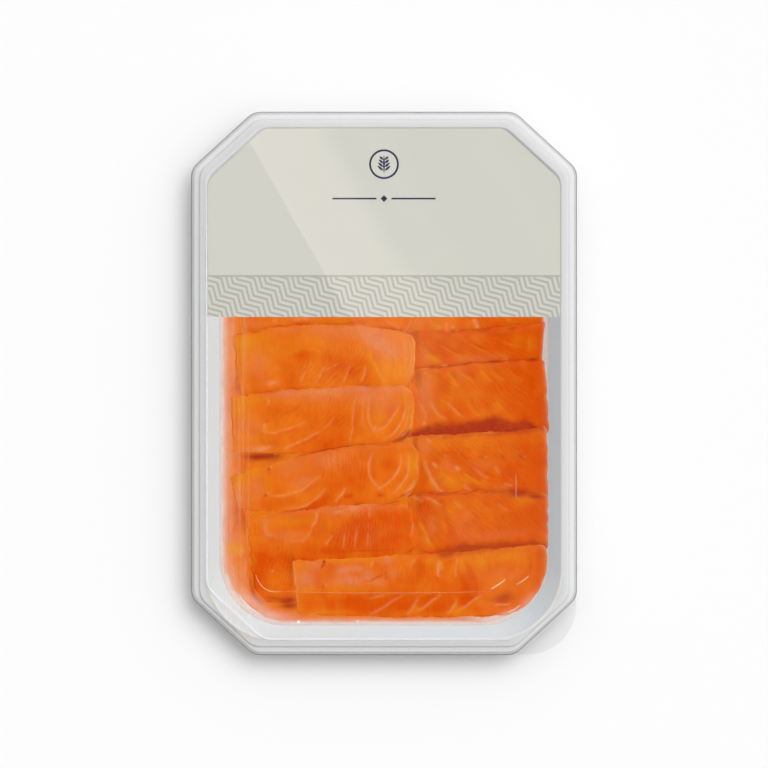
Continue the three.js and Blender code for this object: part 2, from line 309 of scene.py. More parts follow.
def add_piece(name, shape, material, nodes=(), fields=None, sharp_above=math.radians(40), thin=False,
              translucent=False):
    """A finished piece at the origin: its mesh from points and faces, its fields as attributes, riding on
    the pack's one body and standing for the CAD nodes named. A thin piece casts no shadow and lends what is
    near it no colour, and a translucent one isn't mirrored either."""
    points, faces = shape
    mesh = bpy.data.meshes.new(name)
    mesh.from_pydata(points.tolist(), [], [face for part in faces for face in part.tolist()])
    mesh.shade_smooth()
    mesh.set_sharp_from_angle(angle=sharp_above)
    for field, values in (fields or {}).items():
        made = mesh.attributes.new(field, "FLOAT", "POINT")
        made.data.foreach_set("value", np.ascontiguousarray(values, dtype=np.float32).ravel())
    mesh.materials.append(material)
    piece = bpy.data.objects.new(name, mesh)
    piece.visible_shadow = piece.visible_diffuse = not (thin or translucent)
    piece.visible_glossy = not translucent
    bpy.context.scene.collection.objects.link(piece)
    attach(piece, "root")
    if nodes:
        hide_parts(*nodes)
    return piece


LATTICE = 64  # random values along each side of a noise, which repeats after them
LATTICE_START = 30  # the cell of the noise that the origin lies in


def value_noise(x, y, cell, seed):
    """Smooth noise from 0 to 1: random values on a square lattice of that cell, joined by a cubic step."""
    lattice = np.random.default_rng(seed).random((LATTICE, LATTICE))
    u, v = x / cell + LATTICE_START, y / cell + LATTICE_START
    i, j = np.floor(u).astype(int), np.floor(v).astype(int)
    fu, fv = smooth(0, 1, u - i), smooth(0, 1, v - j)
    corners = [lattice[(i + a) % LATTICE, (j + b) % LATTICE] for a in (0, 1) for b in (0, 1)]
    left = corners[0] * (1 - fv) + corners[1] * fv
    right = corners[2] * (1 - fv) + corners[3] * fv
    return left * (1 - fu) + right * fu


# ---- Materials --------------------------------------------------------------------------------


def add(tree, kind, inputs=None, **settings):
    """Adds one shader node: settings are its own, inputs are values or other nodes' outputs by socket."""
    node = tree.nodes.new(f"ShaderNode{kind}")
    for name, value in settings.items():
        setattr(node, name, value)
    for socket, value in (inputs or {}).items():
        if isinstance(value, bpy.types.NodeSocket):
            tree.links.new(value, node.inputs[socket])
        else:
            node.inputs[socket].default_value = value
    return node


def new_material(name):
    material = bpy.data.materials.new(name)
    material.use_nodes = True
    tree = material.node_tree
    tree.nodes.clear()
    return material, tree


def white_polystyrene(tray):
    """High-impact polystyrene, extruded as sheet and vacuum formed: an even white with a soft gloss, a
    little light in the sheet, and the faint orange peel of the mould. The cavity field gives the cavity a
    greyer, cooler white as painted shade, and a second field paints grey shade into the sealed band,
    the steps and the cut edge of the flange."""
    material, tree = new_material("white_polystyrene_sheet")
    cavity = add(tree, "Attribute", attribute_name="cavity").outputs["Fac"]
    zone_mix = add(tree, "Mix", {0: cavity, 6: tray.colour, 7: tray.cavity}, data_type="RGBA")
    flange_shade = add(tree, "Attribute", attribute_name="flange_shade").outputs["Fac"]
    white = add(tree, "Mix", {0: flange_shade, 6: zone_mix.outputs[2], 7: tray.flange_shade}, data_type="RGBA")
    place = add(tree, "TexCoord").outputs["Object"]
    peel = add(tree, "TexNoise", {"Vector": place, "Scale": 1 / (2.5 * MM), "Detail": 2.0})
    cloud = add(tree, "TexNoise", {"Vector": place, "Scale": 1 / (30 * MM), "Detail": 1.0})
    bump = add(tree, "Bump", {"Height": peel.outputs[0], "Strength": 0.12, "Distance": 0.03 * MM})
    gloss = add(tree, "MapRange", {"Value": cloud.outputs[0], "To Min": 0.26, "To Max": 0.36})
    shader = add(tree, "BsdfPrincipled", {
        "Base Color": white.outputs[2],
        "Roughness": gloss.outputs[0],
        "IOR": 1.55,
        "Subsurface Weight": 0.15,
        "Subsurface Radius": (1.0, 0.95, 0.9),
        "Subsurface Scale": 1.2 * MM,
        "Normal": bump.outputs[0],
    })
    add(tree, "OutputMaterial", {"Surface": shader.outputs[0]})
    return material


def sheen_round_label(tree, sheen, label):
    """The film's painted sheen with what its place adds: lengthwise streaks of painted sheen along the
    cavity's left wall, strongest between the fold line and the wall, and none at all over the label."""
    place = add(tree, "TexCoord").outputs["Object"]
    x, y = add(tree, "SeparateXYZ", {0: place}).outputs[:2]
    zone_mix = add(tree, "MapRange", {"Value": x, "From Min": -46.5 * MM, "From Max": -48.5 * MM,
                                   "To Max": 0.06})
    wall = add(tree, "MapRange", {"Value": x, "From Min": -57.5 * MM, "From Max": -55.5 * MM})
    stretch = (1 / (0.8 * MM), 1 / (60 * MM), 0.0)
    length_wise = add(tree, "VectorMath", {0: place, 1: stretch}, operation="MULTIPLY")
    noise = add(tree, "TexNoise", {"Vector": length_wise.outputs[0], "Scale": 1.0, "Detail": 2.0})
    streak = add(tree, "MapRange", {"Value": noise.outputs[0], "From Min": 0.4, "From Max": 0.7})
    for factor in (zone_mix, wall):
        streak = add(tree, "Math", {0: streak.outputs[0], 1: factor.outputs[0]}, operation="MULTIPLY")
    total = add(tree, "Math", {0: sheen, 1: streak.outputs[0]}, operation="ADD")
    below = add(tree, "MapRange", {"Value": y, "From Min": label.foot, "From Max": label.foot - 0.3 * MM})
    return add(tree, "Math", {0: total.outputs[0], 1: below.outputs[0]}, operation="MULTIPLY").outputs[0]


def clear_film(name, sheen_colour, label=None):
    """Polyester lidding film, cast and stretched: nothing shows of it but the gloss of its outer side, and a
    milky white where the sheen field says, painted sheen over its folds, seal line, gleams and the cavity's
    wall."""
    material, tree = new_material(name)
    fresnel = add(tree, "Fresnel", {"IOR": 1.5})
    back = add(tree, "NewGeometry").outputs["Backfacing"]
    front = add(tree, "Math", {0: 1.0, 1: back}, operation="SUBTRACT")
    share = add(tree, "Math", {0: fresnel.outputs[0], 1: front.outputs[0]}, operation="MULTIPLY")
    clear = add(tree, "BsdfTransparent", {"Color": (0.965, 0.965, 0.965, 1.0)})
    sheen = add(tree, "Attribute", attribute_name="sheen").outputs["Fac"]
    if label:
        sheen = sheen_round_label(tree, sheen, label)
    sheen_white = add(tree, "BsdfDiffuse", {"Color": sheen_colour})
    sheened = add(tree, "MixShader", {0: sheen, 1: clear.outputs[0], 2: sheen_white.outputs[0]})
    gloss = add(tree, "BsdfAnisotropic", {"Color": (1, 1, 1, 1), "Roughness": 0.01})
    film = add(tree, "MixShader", {0: share.outputs[0], 1: sheened.outputs[0], 2: gloss.outputs[0]})
    add(tree, "OutputMaterial", {"Surface": film.outputs[0]})
    return material


def ink_surface(tree, colour):
    """Dried ink behind the film: soft itself, with the film's gloss as a clear coat."""
    shader = add(tree, "BsdfPrincipled", {"Base Color": colour, "Roughness": 0.5, "IOR": 1.4,
                                          "Coat Weight": 1.0, "Coat Roughness": 0.01})
    add(tree, "OutputMaterial", {"Surface": shader.outputs[0]})


def printed_field(label):
    """Gravure ink on the film's inner side: a warm grey field with long faint streaks from the doctor
    blade, and a darker line along its border."""
    material, tree = new_material("gravure_ink_field")
    place = add(tree, "TexCoord").outputs["Object"]
    scale = (1 / (9 * MM), 1 / (120 * MM), 1.0)
    streaks = add(tree, "Mapping", {"Vector": place, "Scale": scale})
    noise = add(tree, "TexNoise", {"Vector": streaks.outputs[0], "Scale": 1.0, "Detail": 3.0})
    amount = add(tree, "MapRange", {"Value": noise.outputs[0], "From Min": 0.35, "From Max": 0.7,
                                    "To Min": 0.0, "To Max": 0.35})
    ground = add(tree, "Mix", {0: amount.outputs[0], 6: label.field, 7: label.pale}, data_type="RGBA")
    border = add(tree, "Attribute", attribute_name="border").outputs["Fac"]
    ink = add(tree, "Mix", {0: border, 6: ground.outputs[2], 7: label.line}, data_type="RGBA")
    ink_surface(tree, ink.outputs[2])
    return material


ZIGZAG_START = 0.1  # of a zigzag's length, along the diagonal
ZIGZAG_SLANT = math.radians(30)


def printed_zigzag(label):
    """Gravure ink in a band of parallel zigzags that climb down a diagonal. Along the diagonal a triangle
    wave of that slant shifts the lines, and across it they repeat at the zigzag gap."""
    material, tree = new_material("gravure_ink_zigzag")
    place = add(tree, "TexCoord").outputs["Object"]
    x, y = add(tree, "SeparateXYZ", {0: place}).outputs[:2]
    half_turn = math.sqrt(0.5)
    along = add(tree, "Math", {0: x, 1: y}, operation="SUBTRACT")
    across = add(tree, "Math", {0: x, 1: y}, operation="ADD")
    turns = add(tree, "Math", {0: along.outputs[0], 1: half_turn / label.zigzag, 2: ZIGZAG_START},
                operation="MULTIPLY_ADD")
    wave = add(tree, "Math", {0: turns.outputs[0], 1: 0.5}, operation="PINGPONG")
    lines = add(tree, "Math", {0: across.outputs[0], 1: half_turn / label.zigzag_gap}, operation="MULTIPLY")
    slant = math.tan(ZIGZAG_SLANT) * label.zigzag / label.zigzag_gap
    bent = add(tree, "Math", {0: wave.outputs[0], 1: slant, 2: lines.outputs[0]}, operation="MULTIPLY_ADD")
    nearest = add(tree, "Math", {0: bent.outputs[0], 1: 0.5}, operation="PINGPONG")
    inked = add(tree, "MapRange", {"Value": nearest.outputs[0], "From Min": 0.15, "From Max": 0.27,
                                   "To Min": 1.0, "To Max": 0.0})
    border = add(tree, "Attribute", attribute_name="border").outputs["Fac"]
    either = add(tree, "Math", {0: inked.outputs[0], 1: border}, operation="MAXIMUM")
    ink = add(tree, "Mix", {0: either.outputs[0], 6: label.pale, 7: label.line}, data_type="RGBA")
    ink_surface(tree, ink.outputs[2])
    return material


def printed_navy(label):
    """Navy gravure ink, a shade mottled where it lies thin."""
    material, tree = new_material("gravure_ink_navy")
    place = add(tree, "TexCoord").outputs["Object"]
    mottle = add(tree, "TexNoise", {"Vector": place, "Scale": 1 / (1.5 * MM)})
    thin = add(tree, "MapRange", {"Value": mottle.outputs[0], "To Min": 0.0, "To Max": 0.06})
    ink = add(tree, "Mix", {0: thin.outputs[0], 6: label.navy, 7: label.line}, data_type="RGBA")
    ink_surface(tree, ink.outputs[2])
    return material


def salmon_flesh(name, salmon, fibre_angle, brightness=1.0):
    """Cold-smoked salmon, cured and sliced: moist translucent orange muscle. The fields lay deeper, pink,
    dried, fatty, brown and border zones on it, with the painted shade, highlights and sheen they carry; fine
    fibres run at fibre_angle, and the cut face is satin wet where the wet field says so."""
    material, tree = new_material(name)
    place = add(tree, "TexCoord").outputs["Object"]
    turned = add(tree, "Mapping", {"Vector": place, "Rotation": (0, 0, -fibre_angle)})
    stretch = (1 / (0.7 * MM), 1 / (7 * MM), 1 / (3 * MM))
    along = add(tree, "VectorMath", {0: turned.outputs[0], 1: stretch}, operation="MULTIPLY")
    fibres = add(tree, "TexNoise", {"Vector": along.outputs[0], "Scale": 1.0, "Detail": 3.0})
    cloud = add(tree, "TexNoise", {"Vector": place, "Scale": 1 / (6 * MM), "Detail": 4.0})
    grain = add(tree, "TexNoise", {"Vector": place, "Scale": 1 / (0.9 * MM), "Detail": 2.0})
    uneven = add(tree, "Math", {0: fibres.outputs[0], 1: 0.9, 2: cloud.outputs[0]},
                 operation="MULTIPLY_ADD")
    mottled = add(tree, "Math", {0: grain.outputs[0], 1: 0.5, 2: uneven.outputs[0]},
                  operation="MULTIPLY_ADD")
    shift = add(tree, "MapRange", {"Value": mottled.outputs[0], "From Min": 0.8, "From Max": 1.6,
                                   "To Min": -0.36, "To Max": 0.36})
    deep = add(tree, "Attribute", attribute_name="deep").outputs["Fac"]
    depth = add(tree, "Math", {0: deep, 1: shift.outputs[0]}, operation="ADD", use_clamp=True)
    colour = add(tree, "Mix", {0: depth.outputs[0], 6: salmon.flesh, 7: salmon.deep},
                 data_type="RGBA").outputs[2]
    zones = (("rosy_and_highlight", salmon.rosy_and_highlight), ("tip", salmon.tip), ("meat_and_shade", salmon.meat_and_shade), ("fat", salmon.fat),
             ("border_sheen", salmon.border_sheen))
    for field, zone_colour in zones:
        share = add(tree, "Attribute", attribute_name=field).outputs["Fac"]
        colour = add(tree, "Mix", {0: share, 6: colour, 7: zone_colour}, data_type="RGBA").outputs[2]
    wet = add(tree, "Math", {0: grain.outputs[0], 1: fibres.outputs[0]}, operation="ADD")
    value = add(tree, "MapRange", {"Value": wet.outputs[0], "From Min": 0.6, "From Max": 1.4,
                                   "To Min": 0.88 * brightness,
                                   "To Max": 1.07 * brightness})
    colour = add(tree, "HueSaturation", {"Value": value.outputs[0], "Color": colour}).outputs[0]
    rough = add(tree, "MapRange", {"Value": cloud.outputs[0], "To Min": 0.3, "To Max": 0.5})
    height = add(tree, "Math", {0: grain.outputs[0], 1: 0.6, 2: fibres.outputs[0]},
                 operation="MULTIPLY_ADD")
    bump = add(tree, "Bump", {"Height": height.outputs[0], "Strength": 0.4, "Distance": 0.2 * MM})
    wet_face = add(tree, "Attribute", attribute_name="wet").outputs["Fac"]
    gloss = add(tree, "Math", {0: wet_face, 1: 0.06}, operation="MULTIPLY")
    shader = add(tree, "BsdfPrincipled", {
        "Base Color": colour,
        "Roughness": rough.outputs[0],
        "IOR": 1.38,
        "Specular IOR Level": gloss.outputs[0],
        "Subsurface Weight": 0.3,
        "Subsurface Radius": (1.0, 0.35, 0.12),
        "Subsurface Scale": 1.6 * MM,
        "Normal": bump.outputs[0],
    })
    add(tree, "OutputMaterial", {"Surface": shader.outputs[0]})
    return material


def table_white(colour):
    """Matt white laminate table: flat and even, with a trace of tooth."""
    material, tree = new_material("matt_white_laminate")
    place = add(tree, "TexCoord").outputs["Object"]
    tooth = add(tree, "TexNoise", {"Vector": place, "Scale": 1 / (5 * MM)})
    rough = add(tree, "MapRange", {"Value": tooth.outputs[0], "To Min": 0.85, "To Max": 0.95})
    shader = add(tree, "BsdfPrincipled", {"Base Color": colour, "Roughness": rough.outputs[0]})
    shader.inputs["Specular IOR Level"].default_value = 0.1
    add(tree, "OutputMaterial", {"Surface": shader.outputs[0]})
    return material


# ---- Tray -------------------------------------------------------------------------------------

# Profile of the formed sheet, in millimetres: the inset from the edge, the height, and the inset from the
# label end's cut. The height is from the rim where "rim" and from the table where "base" is named. The
# last two say the foot end's corner: a cut at its inset, or a round corner of its radius.
TRAY_TOP = (
    (11.6, "base", 0.6, 12.8, "round", 23),
    (10.7, "base", 0.85, 11.9, "round", 23.2),
    (9.95, "base", 1.5, 11.1, "round", 23.4),
    (9.4, "base", 2.6, 10.5, "round", 23.6),
    (6.3, "rim", -1.3, 7, "round", 24.2),
    (5.95, "rim", -0.45, 6.5, "round", 24.4),
    (5.6, "rim", -0.06, 6.1, "round", 24.8),
    (5.2, "rim", -0.02, 5.6, "round", 25.2),
    (4.9, "rim", -0.05, 5.2, "round", 25.6),
    (3.55, "rim", -0.29, 3.6, "cut", 2.75),
    (3.3, "rim", -0.36, 3.3, "cut", 2.5),
    (3.1, "rim", -0.64, 3.1, "cut", 2.3),
    (2.9, "rim", -0.86, 2.9, "cut", 2.1),
    (2.6, "rim", -0.93, 2.6, "cut", 1.95),
    (1.5, "rim", -1.16, 1.5, "cut", 1.3),
    (1.25, "rim", -1.24, 1.25, "cut", 1.1),
    (1.1, "rim", -1.48, 1.1, "cut", 1),
    (0.95, "rim", -1.62, 0.95, "cut", 0.88),
    (0.8, "rim", -1.65, 0.8, "cut", 0.75),
    (0.5, "rim", -1.68, 0.5, "cut", 0.48),
    (0.35, "rim", -1.8, 0.35, "cut", 0.34),
    (0.1, "rim", -2.2, 0.1, "cut", 0.1),
    (0, "rim", -2.9, 0, "cut", 0),
)
CAVITY_LINES = 6  # how many lines of the table belong to the cavity
# Painted shade on the lines of the flange, by their place in the table: how grey the sealed band, the steps
# and the edge are drawn.
FLANGE_SHADE = {8: 0.16, 9: 0.1, 10: 0.05, 11: 0.18, 12: 0.24, 13: 0.03, 15: 0.02, 16: 0.24, 17: 0.32, 18: 0.26,
        19: 0.3, 20: 0.75, 21: 1.0, 22: 1.0, 23: 1.0, 24: 1.0}
TRAY_FOOT = (
    (0.65, "rim", -2.9, 0.65, "cut", 0.65),
    (0.85, "rim", -2.3, 0.85, "cut", 0.85),
    (1.2, "rim", -2.1, 1.2, "cut", 1.2),
    (1.65, "rim", -1.7, 1.65, "cut", 1.5),
    (3.35, "rim", -1.4, 3.4, "cut", 2.4),
    (3.75, "rim", -0.9, 3.8, "cut", 2.7),
    (5.1, "rim", -0.66, 5.5, "round", 25.3),
    (5.35, "rim", -0.8, 5.8, "round", 25),
    (5.75, "rim", -1.45, 6.4, "round", 24.6),
    (8.8, "base", 2.5, 10, "round", 23.9),
    (9.35, "base", 1.25, 10.6, "round", 23.6),
    (10.3, "base", 0.3, 11.6, "round", 23.4),
    (11.4, "base", 0, 12.6, "round", 23.2),
)


def tray_ring(tray, inset, level, height, cut, foot_kind, foot_size):
    base = tray.rim if level == "rim" else 0
    return pack_ring(tray, (inset, inset), cut, foot_kind, foot_size, base + height * MM)


class SALMON_OT_tray(bpy.types.Operator):
    """Forms the white tray: its profile, rounded off, lofted round the pack from floor to lip and back"""

    bl_idname = "salmon.tray"
    bl_label = "Tray"

    def execute(self, context):
        tray = context.scene.salmon_tray
        lines = TRAY_TOP + TRAY_FOOT
        rings = np.array([tray_ring(tray, *line) for line in lines])
        # Each line of the profile: whether it belongs to the cavity, and how much painted shade greys it.
        zones = np.array([(k < CAVITY_LINES, FLANGE_SHADE.get(k, 0.0)) for k in range(len(lines))], dtype=float)
        rings = np.concatenate([rings, np.repeat(zones[:, None], rings.shape[1], axis=1)], axis=2)
        points, faces = lofted(rounded_off(rings, 2))
        add_piece("white_tray", (points[:, :3], faces), white_polystyrene(tray), ["tray"],
                  {"cavity": points[:, 3], "flange_shade": points[:, 4]}, sharp_above=math.radians(80))
        return {"FINISHED"}


# ---- Lid film ---------------------------------------------------------------------------------

FILM_FLOAT = 0.05 * MM  # from the rim up to the film's inner side

# The film's outer side from the middle out: the insets from the sides and from the ends, the height from
# its flat middle, the inset from the label end's cut, and the foot end's corner as for the tray.
FILM_LINES = (
    (21.2, 22.5, 0, 18, "round", 10.6),
    (20.7, 22, 0, 17.6, "round", 11),
    (20.2, 21.5, 0, 17.2, "round", 11.4),
    (17, 17.5, 0, 15, "round", 14),
    (14, 14.4, 0, 13, "round", 17),
    (12, 12.3, 0, 11.6, "round", 19),
    (10, 10.2, 0, 10, "round", 21),
    (8, 8.1, 0, 8.4, "cut", 8.4),
    (6, 6, 0, 6.8, "cut", 6.8),
    (5.3, 5.3, 0.03, 5.7, "round", 25.1),
    (3.3, 3.3, -0.25, 3.3, "cut", 2.45),
    (1.15, 1.15, -1.05, 1.15, "cut", 1),
)
FILM_EDGE, FILM_EDGE_DROP = 0.4, -1.05  # the inset and the height of its cut edge


def film_rings(tray, lid, height):
    """The film's rings at a height, from the middle out to its cut edge, which runs on at +X, -Y as the
    round peel corner."""
    rings = [pack_ring(tray, (side, end), cut, kind, size, height + drop * MM)
             for side, end, drop, cut, kind, size in FILM_LINES]
    edge = FILM_EDGE * MM
    cut = cut_corner(tray, edge, edge, edge)
    peel = round_corner(tray, edge, edge, lid.peel_radius)
    rings.append(ring([cut, cut, cut, peel], height + FILM_EDGE_DROP * MM))
    return np.array(rings)


WALL_BAND = (13.5 * MM, 10 * MM)  # the veil comes up between these depths inside the pack's edge
SEALED_BAND = (5 * MM, 6 * MM)  # and is gone between these, where the film is sealed to the rim
SEALED_CUT = (3.3 * MM, 4.3 * MM)  # as it is between these distances from a corner cut
# The veil is painted sheen, stronger at the left, where the wall faces the light.
SIDE_SHEEN = (0.02, 0.035)  # how milky the veil is at the right, and how much more at the left
CORNER_SHEEN = (0.07, (-53 * MM, -77 * MM), (8 * MM, 9 * MM))  # strength, middle and half widths


def film_sheen(points, tray, lid):
    """How much painted sheen the film shows: a milky veil over the cavity's wall, stronger at the left than
    at the right, and densest in the foot end's left corner as the bell exp(-u^2 - v^2), which ends at the
    fold."""
    x, y = points[:, 0], points[:, 1]
    in_x, in_y = tray.width / 2 - np.abs(x), tray.length / 2 + y
    depth = np.minimum(in_x, in_y)
    past_cut = in_x / tray.cut_x + in_y / tray.cut_y - 1
    from_cut = past_cut * tray.cut_x * tray.cut_y / math.hypot(tray.cut_x, tray.cut_y)
    inside = smooth(*SEALED_BAND, depth) * smooth(*SEALED_CUT, from_cut)
    side = SIDE_SHEEN[0] + SIDE_SHEEN[1] * smooth(20 * MM, -20 * MM, x)
    strength, middle, half = CORNER_SHEEN
    corner = np.exp(-(((x - middle[0]) / half[0]) ** 2) - ((y - middle[1]) / half[1]) ** 2)
    outside_fold = np.maximum(np.abs(x) - lid.fold_x, -y - lid.fold_y)
    near_fold = smooth(0.2 * MM, 0.6 * MM, outside_fold) * inside
    return np.maximum(side * smooth(*WALL_BAND, depth) * inside, strength * corner * near_fold)


# Folds of the film, in millimetres: start, middle and end, width, height and the strength of their painted
# gleam.
FOLDS = (
    (-47.3, -10, -47.3, -36, -47, -58, 0.3, 0.02, 0.06),
    (-44.8, -66.6, -41.6, -71.6, -35.8, -72.6, 0.3, 0.05, 0.3),
    (-35.8, -72.6, 0, -73.1, 37, -72.6, 0.3, 0.03, 0.09),
    (46, -31.5, 46.1, -36, 46, -40.5, 0.55, 0.02, 0.09),
    (46, -70.2, 48.5, -68.8, 50.6, -67.1, 0.42, 0.06, 0.3),
    (37.1, -71.9, 40, -70.1, 42.4, -68.3, 0.45, 0.08, 0.45),
)
# Painted white gleams where the film meets the wall at the foot end, as low ridges, in the same way.
GLEAMS = (
    (-50.6, -73.6, -47.6, -77.6, -42.4, -80.9, 0.6, 0.1, 0.42),
    (-55, -66, -53.4, -70.6, -50.6, -74.6, 0.5, 0.06, 0.16),
    (-30.2, -83.2, -29.8, -83.2, -29.4, -83.2, 0.9, 0.1, 0.9),
    (-9.6, -83, -9.2, -83, -8.8, -83, 0.6, 0.08, 0.6),
    (43, -79.8, 45.2, -79, 47.6, -77.2, 0.4, 0.05, 0.3),
)


RIDGE_POINTS = 9  # across a ridge
RIDGE_TAPER = 0.35  # the power of a sine along it
RIDGE_EDGE = 0.01 * MM  # the height of its border


def ridge(path, width, height, base):
    """Points and faces of a low ridge along a path: half a lens across, tapered to both ends."""
    count = len(path)
    step = np.gradient(path, axis=0)
    step /= np.linalg.norm(step, axis=1, keepdims=True)
    across = np.stack([-step[:, 1], step[:, 0]], axis=1)
    taper = np.sin(np.linspace(0.02, math.pi - 0.02, count)) ** RIDGE_TAPER
    place = np.linspace(1, -1, RIDGE_POINTS)
    flat = path[:, None] + across[:, None] * (place[None, :, None] * (width * taper)[:, None, None] / 2)
    rise = (1 - place ** 2)[None] * (height * taper)[:, None] + RIDGE_EDGE
    top = np.concatenate([flat, (base + rise)[..., None]], axis=2)
    foot = np.concatenate([flat, np.full((*flat.shape[:2], 1), base)], axis=2)
    return grid_shell(top.transpose(1, 0, 2), foot.transpose(1, 0, 2))


WRINKLE_POINTS = 25  # along a fold or a gleam


def wrinkle(base, x0, y0, x1, y1, x2, y2, width, height, sheen):
    """One line of a table above as a ridge, and its painted sheen."""
    start, middle, end = np.array(((x0, y0), (x1, y1), (x2, y2))) * MM
    path = through(start, middle, end, np.linspace(0, 1, WRINKLE_POINTS)[:, None])
    shape = ridge(path, width * MM, height * MM, base)
    return shape, np.full(len(shape[0]), sheen)


def joined(shapes):
    """Several shapes as one: their points one after another, and their faces counted on."""
    points, faces, start = [], [], 0
    for shape_points, shape_faces in shapes:
        points.append(shape_points)
        faces += [part + start for part in shape_faces]
        start += len(shape_points)
    return np.concatenate(points), faces


# The seal line, a painted highlight along the rim: its insets from the side, the end and the corner cut, how
# far it runs up the left side and along the foot end, its steps, width, height and painted sheen.
SEAL_INSETS = (5.6 * MM, 5.7 * MM, 6.8 * MM)
SEAL_HEAD = 70 * MM
SEAL_RIGHT = 45 * MM
SEAL_STEPS = 300
SEAL_WIDTH = 0.75 * MM
SEAL_HEIGHT = 0.08 * MM
SEAL_SHEEN = 0.5


class SALMON_OT_lid(bpy.types.Operator):
    """Seals the clear film over the rim, and presses its folds and wrinkles into it"""

    bl_idname = "salmon.lid"
    bl_label = "Lid film"

    def execute(self, context):
        tray, lid = context.scene.salmon_tray, context.scene.salmon_lid
        inner = tray.rim + FILM_FLOAT
        outer = rounded_off(film_rings(tray, lid, inner + lid.film), 1)
        under = rounded_off(film_rings(tray, lid, inner), 1)[::-1]
        shape = lofted(np.concatenate([outer, under]))
        sheen = film_sheen(shape[0], tray, lid)
        film = clear_film("clear_polyester_film", lid.crease, context.scene.salmon_label)
        add_piece("clear_lid", shape, film, ["lid_film"], {"sheen": sheen})

        base = inner + lid.film
        seal = cut_corner(tray, *SEAL_INSETS) * (-1, -1)
        seal = np.concatenate([[[seal[0][0], SEAL_HEAD]], seal, [[SEAL_RIGHT, seal[-1][1]]]])
        line = ridge(resampled(seal, SEAL_STEPS), SEAL_WIDTH, SEAL_HEIGHT, base)
        # The seal line and the gleams carry painted highlights.
        pressed = [(line, np.full(len(line[0]), SEAL_SHEEN)), *(wrinkle(base, *row) for row in GLEAMS)]
        folded = [wrinkle(base, *row) for row in FOLDS]
        for name, tint_of, parts in (("lid_seal", lid.sheen, pressed), ("lid_creases", lid.crease, folded)):
            film = clear_film(f"polyester_film_{name}", tint_of)
            sheen = np.concatenate([part[1] for part in parts])
            add_piece(name, joined([part[0] for part in parts]), film, fields={"sheen": sheen})
        return {"FINISHED"}


# ---- Printed label ----------------------------------------------------------------------------

INK = 0.03 * MM
BORDER_LINE = 0.45 * MM
INK_DEPTH = 0.04 * MM  # from the film's inner side down to the print
PRINT_STEPS = 60  # across the print, and from its foot to its head
PRINT_MARGIN = 2 * MM  # within which the print's grid is finer, at the distances NEAR_BORDER
NEAR_BORDER = (0, 0.25, 0.45, 0.6, 1.0)
HEAD_LINE = (0.7 * MM, 0.5 * MM)  # the line along the zigzag band's head begins between these depths
PLATES = (0.005 * MM, 0.025 * MM)  # the ornament's underside and top, from the field's


def label_sheet(tray, label, foot, head, high):
    """A grid between two lines of Y, as wide as the print's outline there, and how near each point is to
    the outline: 1 within a border line's width of it."""
    corner = cut_corner(tray, label.inset, label.inset, label.cut_inset)
    near = np.array(NEAR_BORDER) * MM
    middle = np.linspace(foot + PRINT_MARGIN, head - PRINT_MARGIN, PRINT_STEPS)
    y = np.concatenate([foot + near, middle, head - near[::-1]])
    half = np.interp(y, corner[:, 1], corner[:, 0])
    inner = np.linspace(-1, 1, PRINT_STEPS) * (half[:, None] - PRINT_MARGIN)
    x = np.concatenate([-half[:, None] + near, inner, half[:, None] - near[::-1]], axis=1)
    rows = np.repeat(y[:, None], x.shape[1], axis=1)
    top = np.stack([x, rows, np.full_like(x, high)], axis=2)
    under = top - (0, 0, INK)
    distance = half[:, None] - np.abs(x)
    at_head = tray.length / 2 - label.inset - rows
    if head > label.foot + label.band:
        distance = np.minimum(distance, at_head)
    border = smooth(BORDER_LINE, 0.6 * BORDER_LINE, distance)
    return grid_shell(top, under), np.concatenate([border.ravel(), border.ravel()])


LEAF_POINTS = 9  # along each side of a leaf
LEAF_FULLNESS = 0.8  # the power of the sine that its half width follows


def leaf(start, angle, size, width):
    """Outline of a pointed leaf: its half width follows a sine to the power LEAF_FULLNESS along it."""
    share = np.linspace(0, 1, LEAF_POINTS)
    half = width / 2 * np.sin(math.pi * share) ** LEAF_FULLNESS
    side = np.stack([share * size, -half], axis=1)
    other = np.stack([share * size, half], axis=1)[-2:0:-1]
    flat = np.concatenate([side, other])
    turn = np.array([[math.cos(angle), math.sin(angle)], [-math.sin(angle), math.cos(angle)]])
    return flat @ turn + start


ORNAMENT = (0, 76.5 * MM)  # its middle
RING_STEPS = 96
RING_LINE = 0.7 * MM
STEM, STEM_WIDTH = 6.4 * MM, 0.7 * MM
# The pairs of leaves: how far up the stem from its middle, as shares of it, and how long.
LEAVES = ((-0.36, 2.7 * MM), (-0.16, 2.4 * MM), (0.04, 2.1 * MM), (0.24, 1.8 * MM))
LEAF_WIDTH = 0.8 * MM
LEAF_SIDE = 0.25 * MM  # from the stem's middle to where a leaf starts
LEAF_ANGLE = math.radians(48)
RULE = 64.5 * MM  # the Y of the rule, which runs from RULE_ENDS[0] to RULE_ENDS[1] on both sides
RULE_ENDS = (2.6 * MM, 18 * MM)
RULE_HALF = 0.3 * MM
DIAMOND = 1.2 * MM


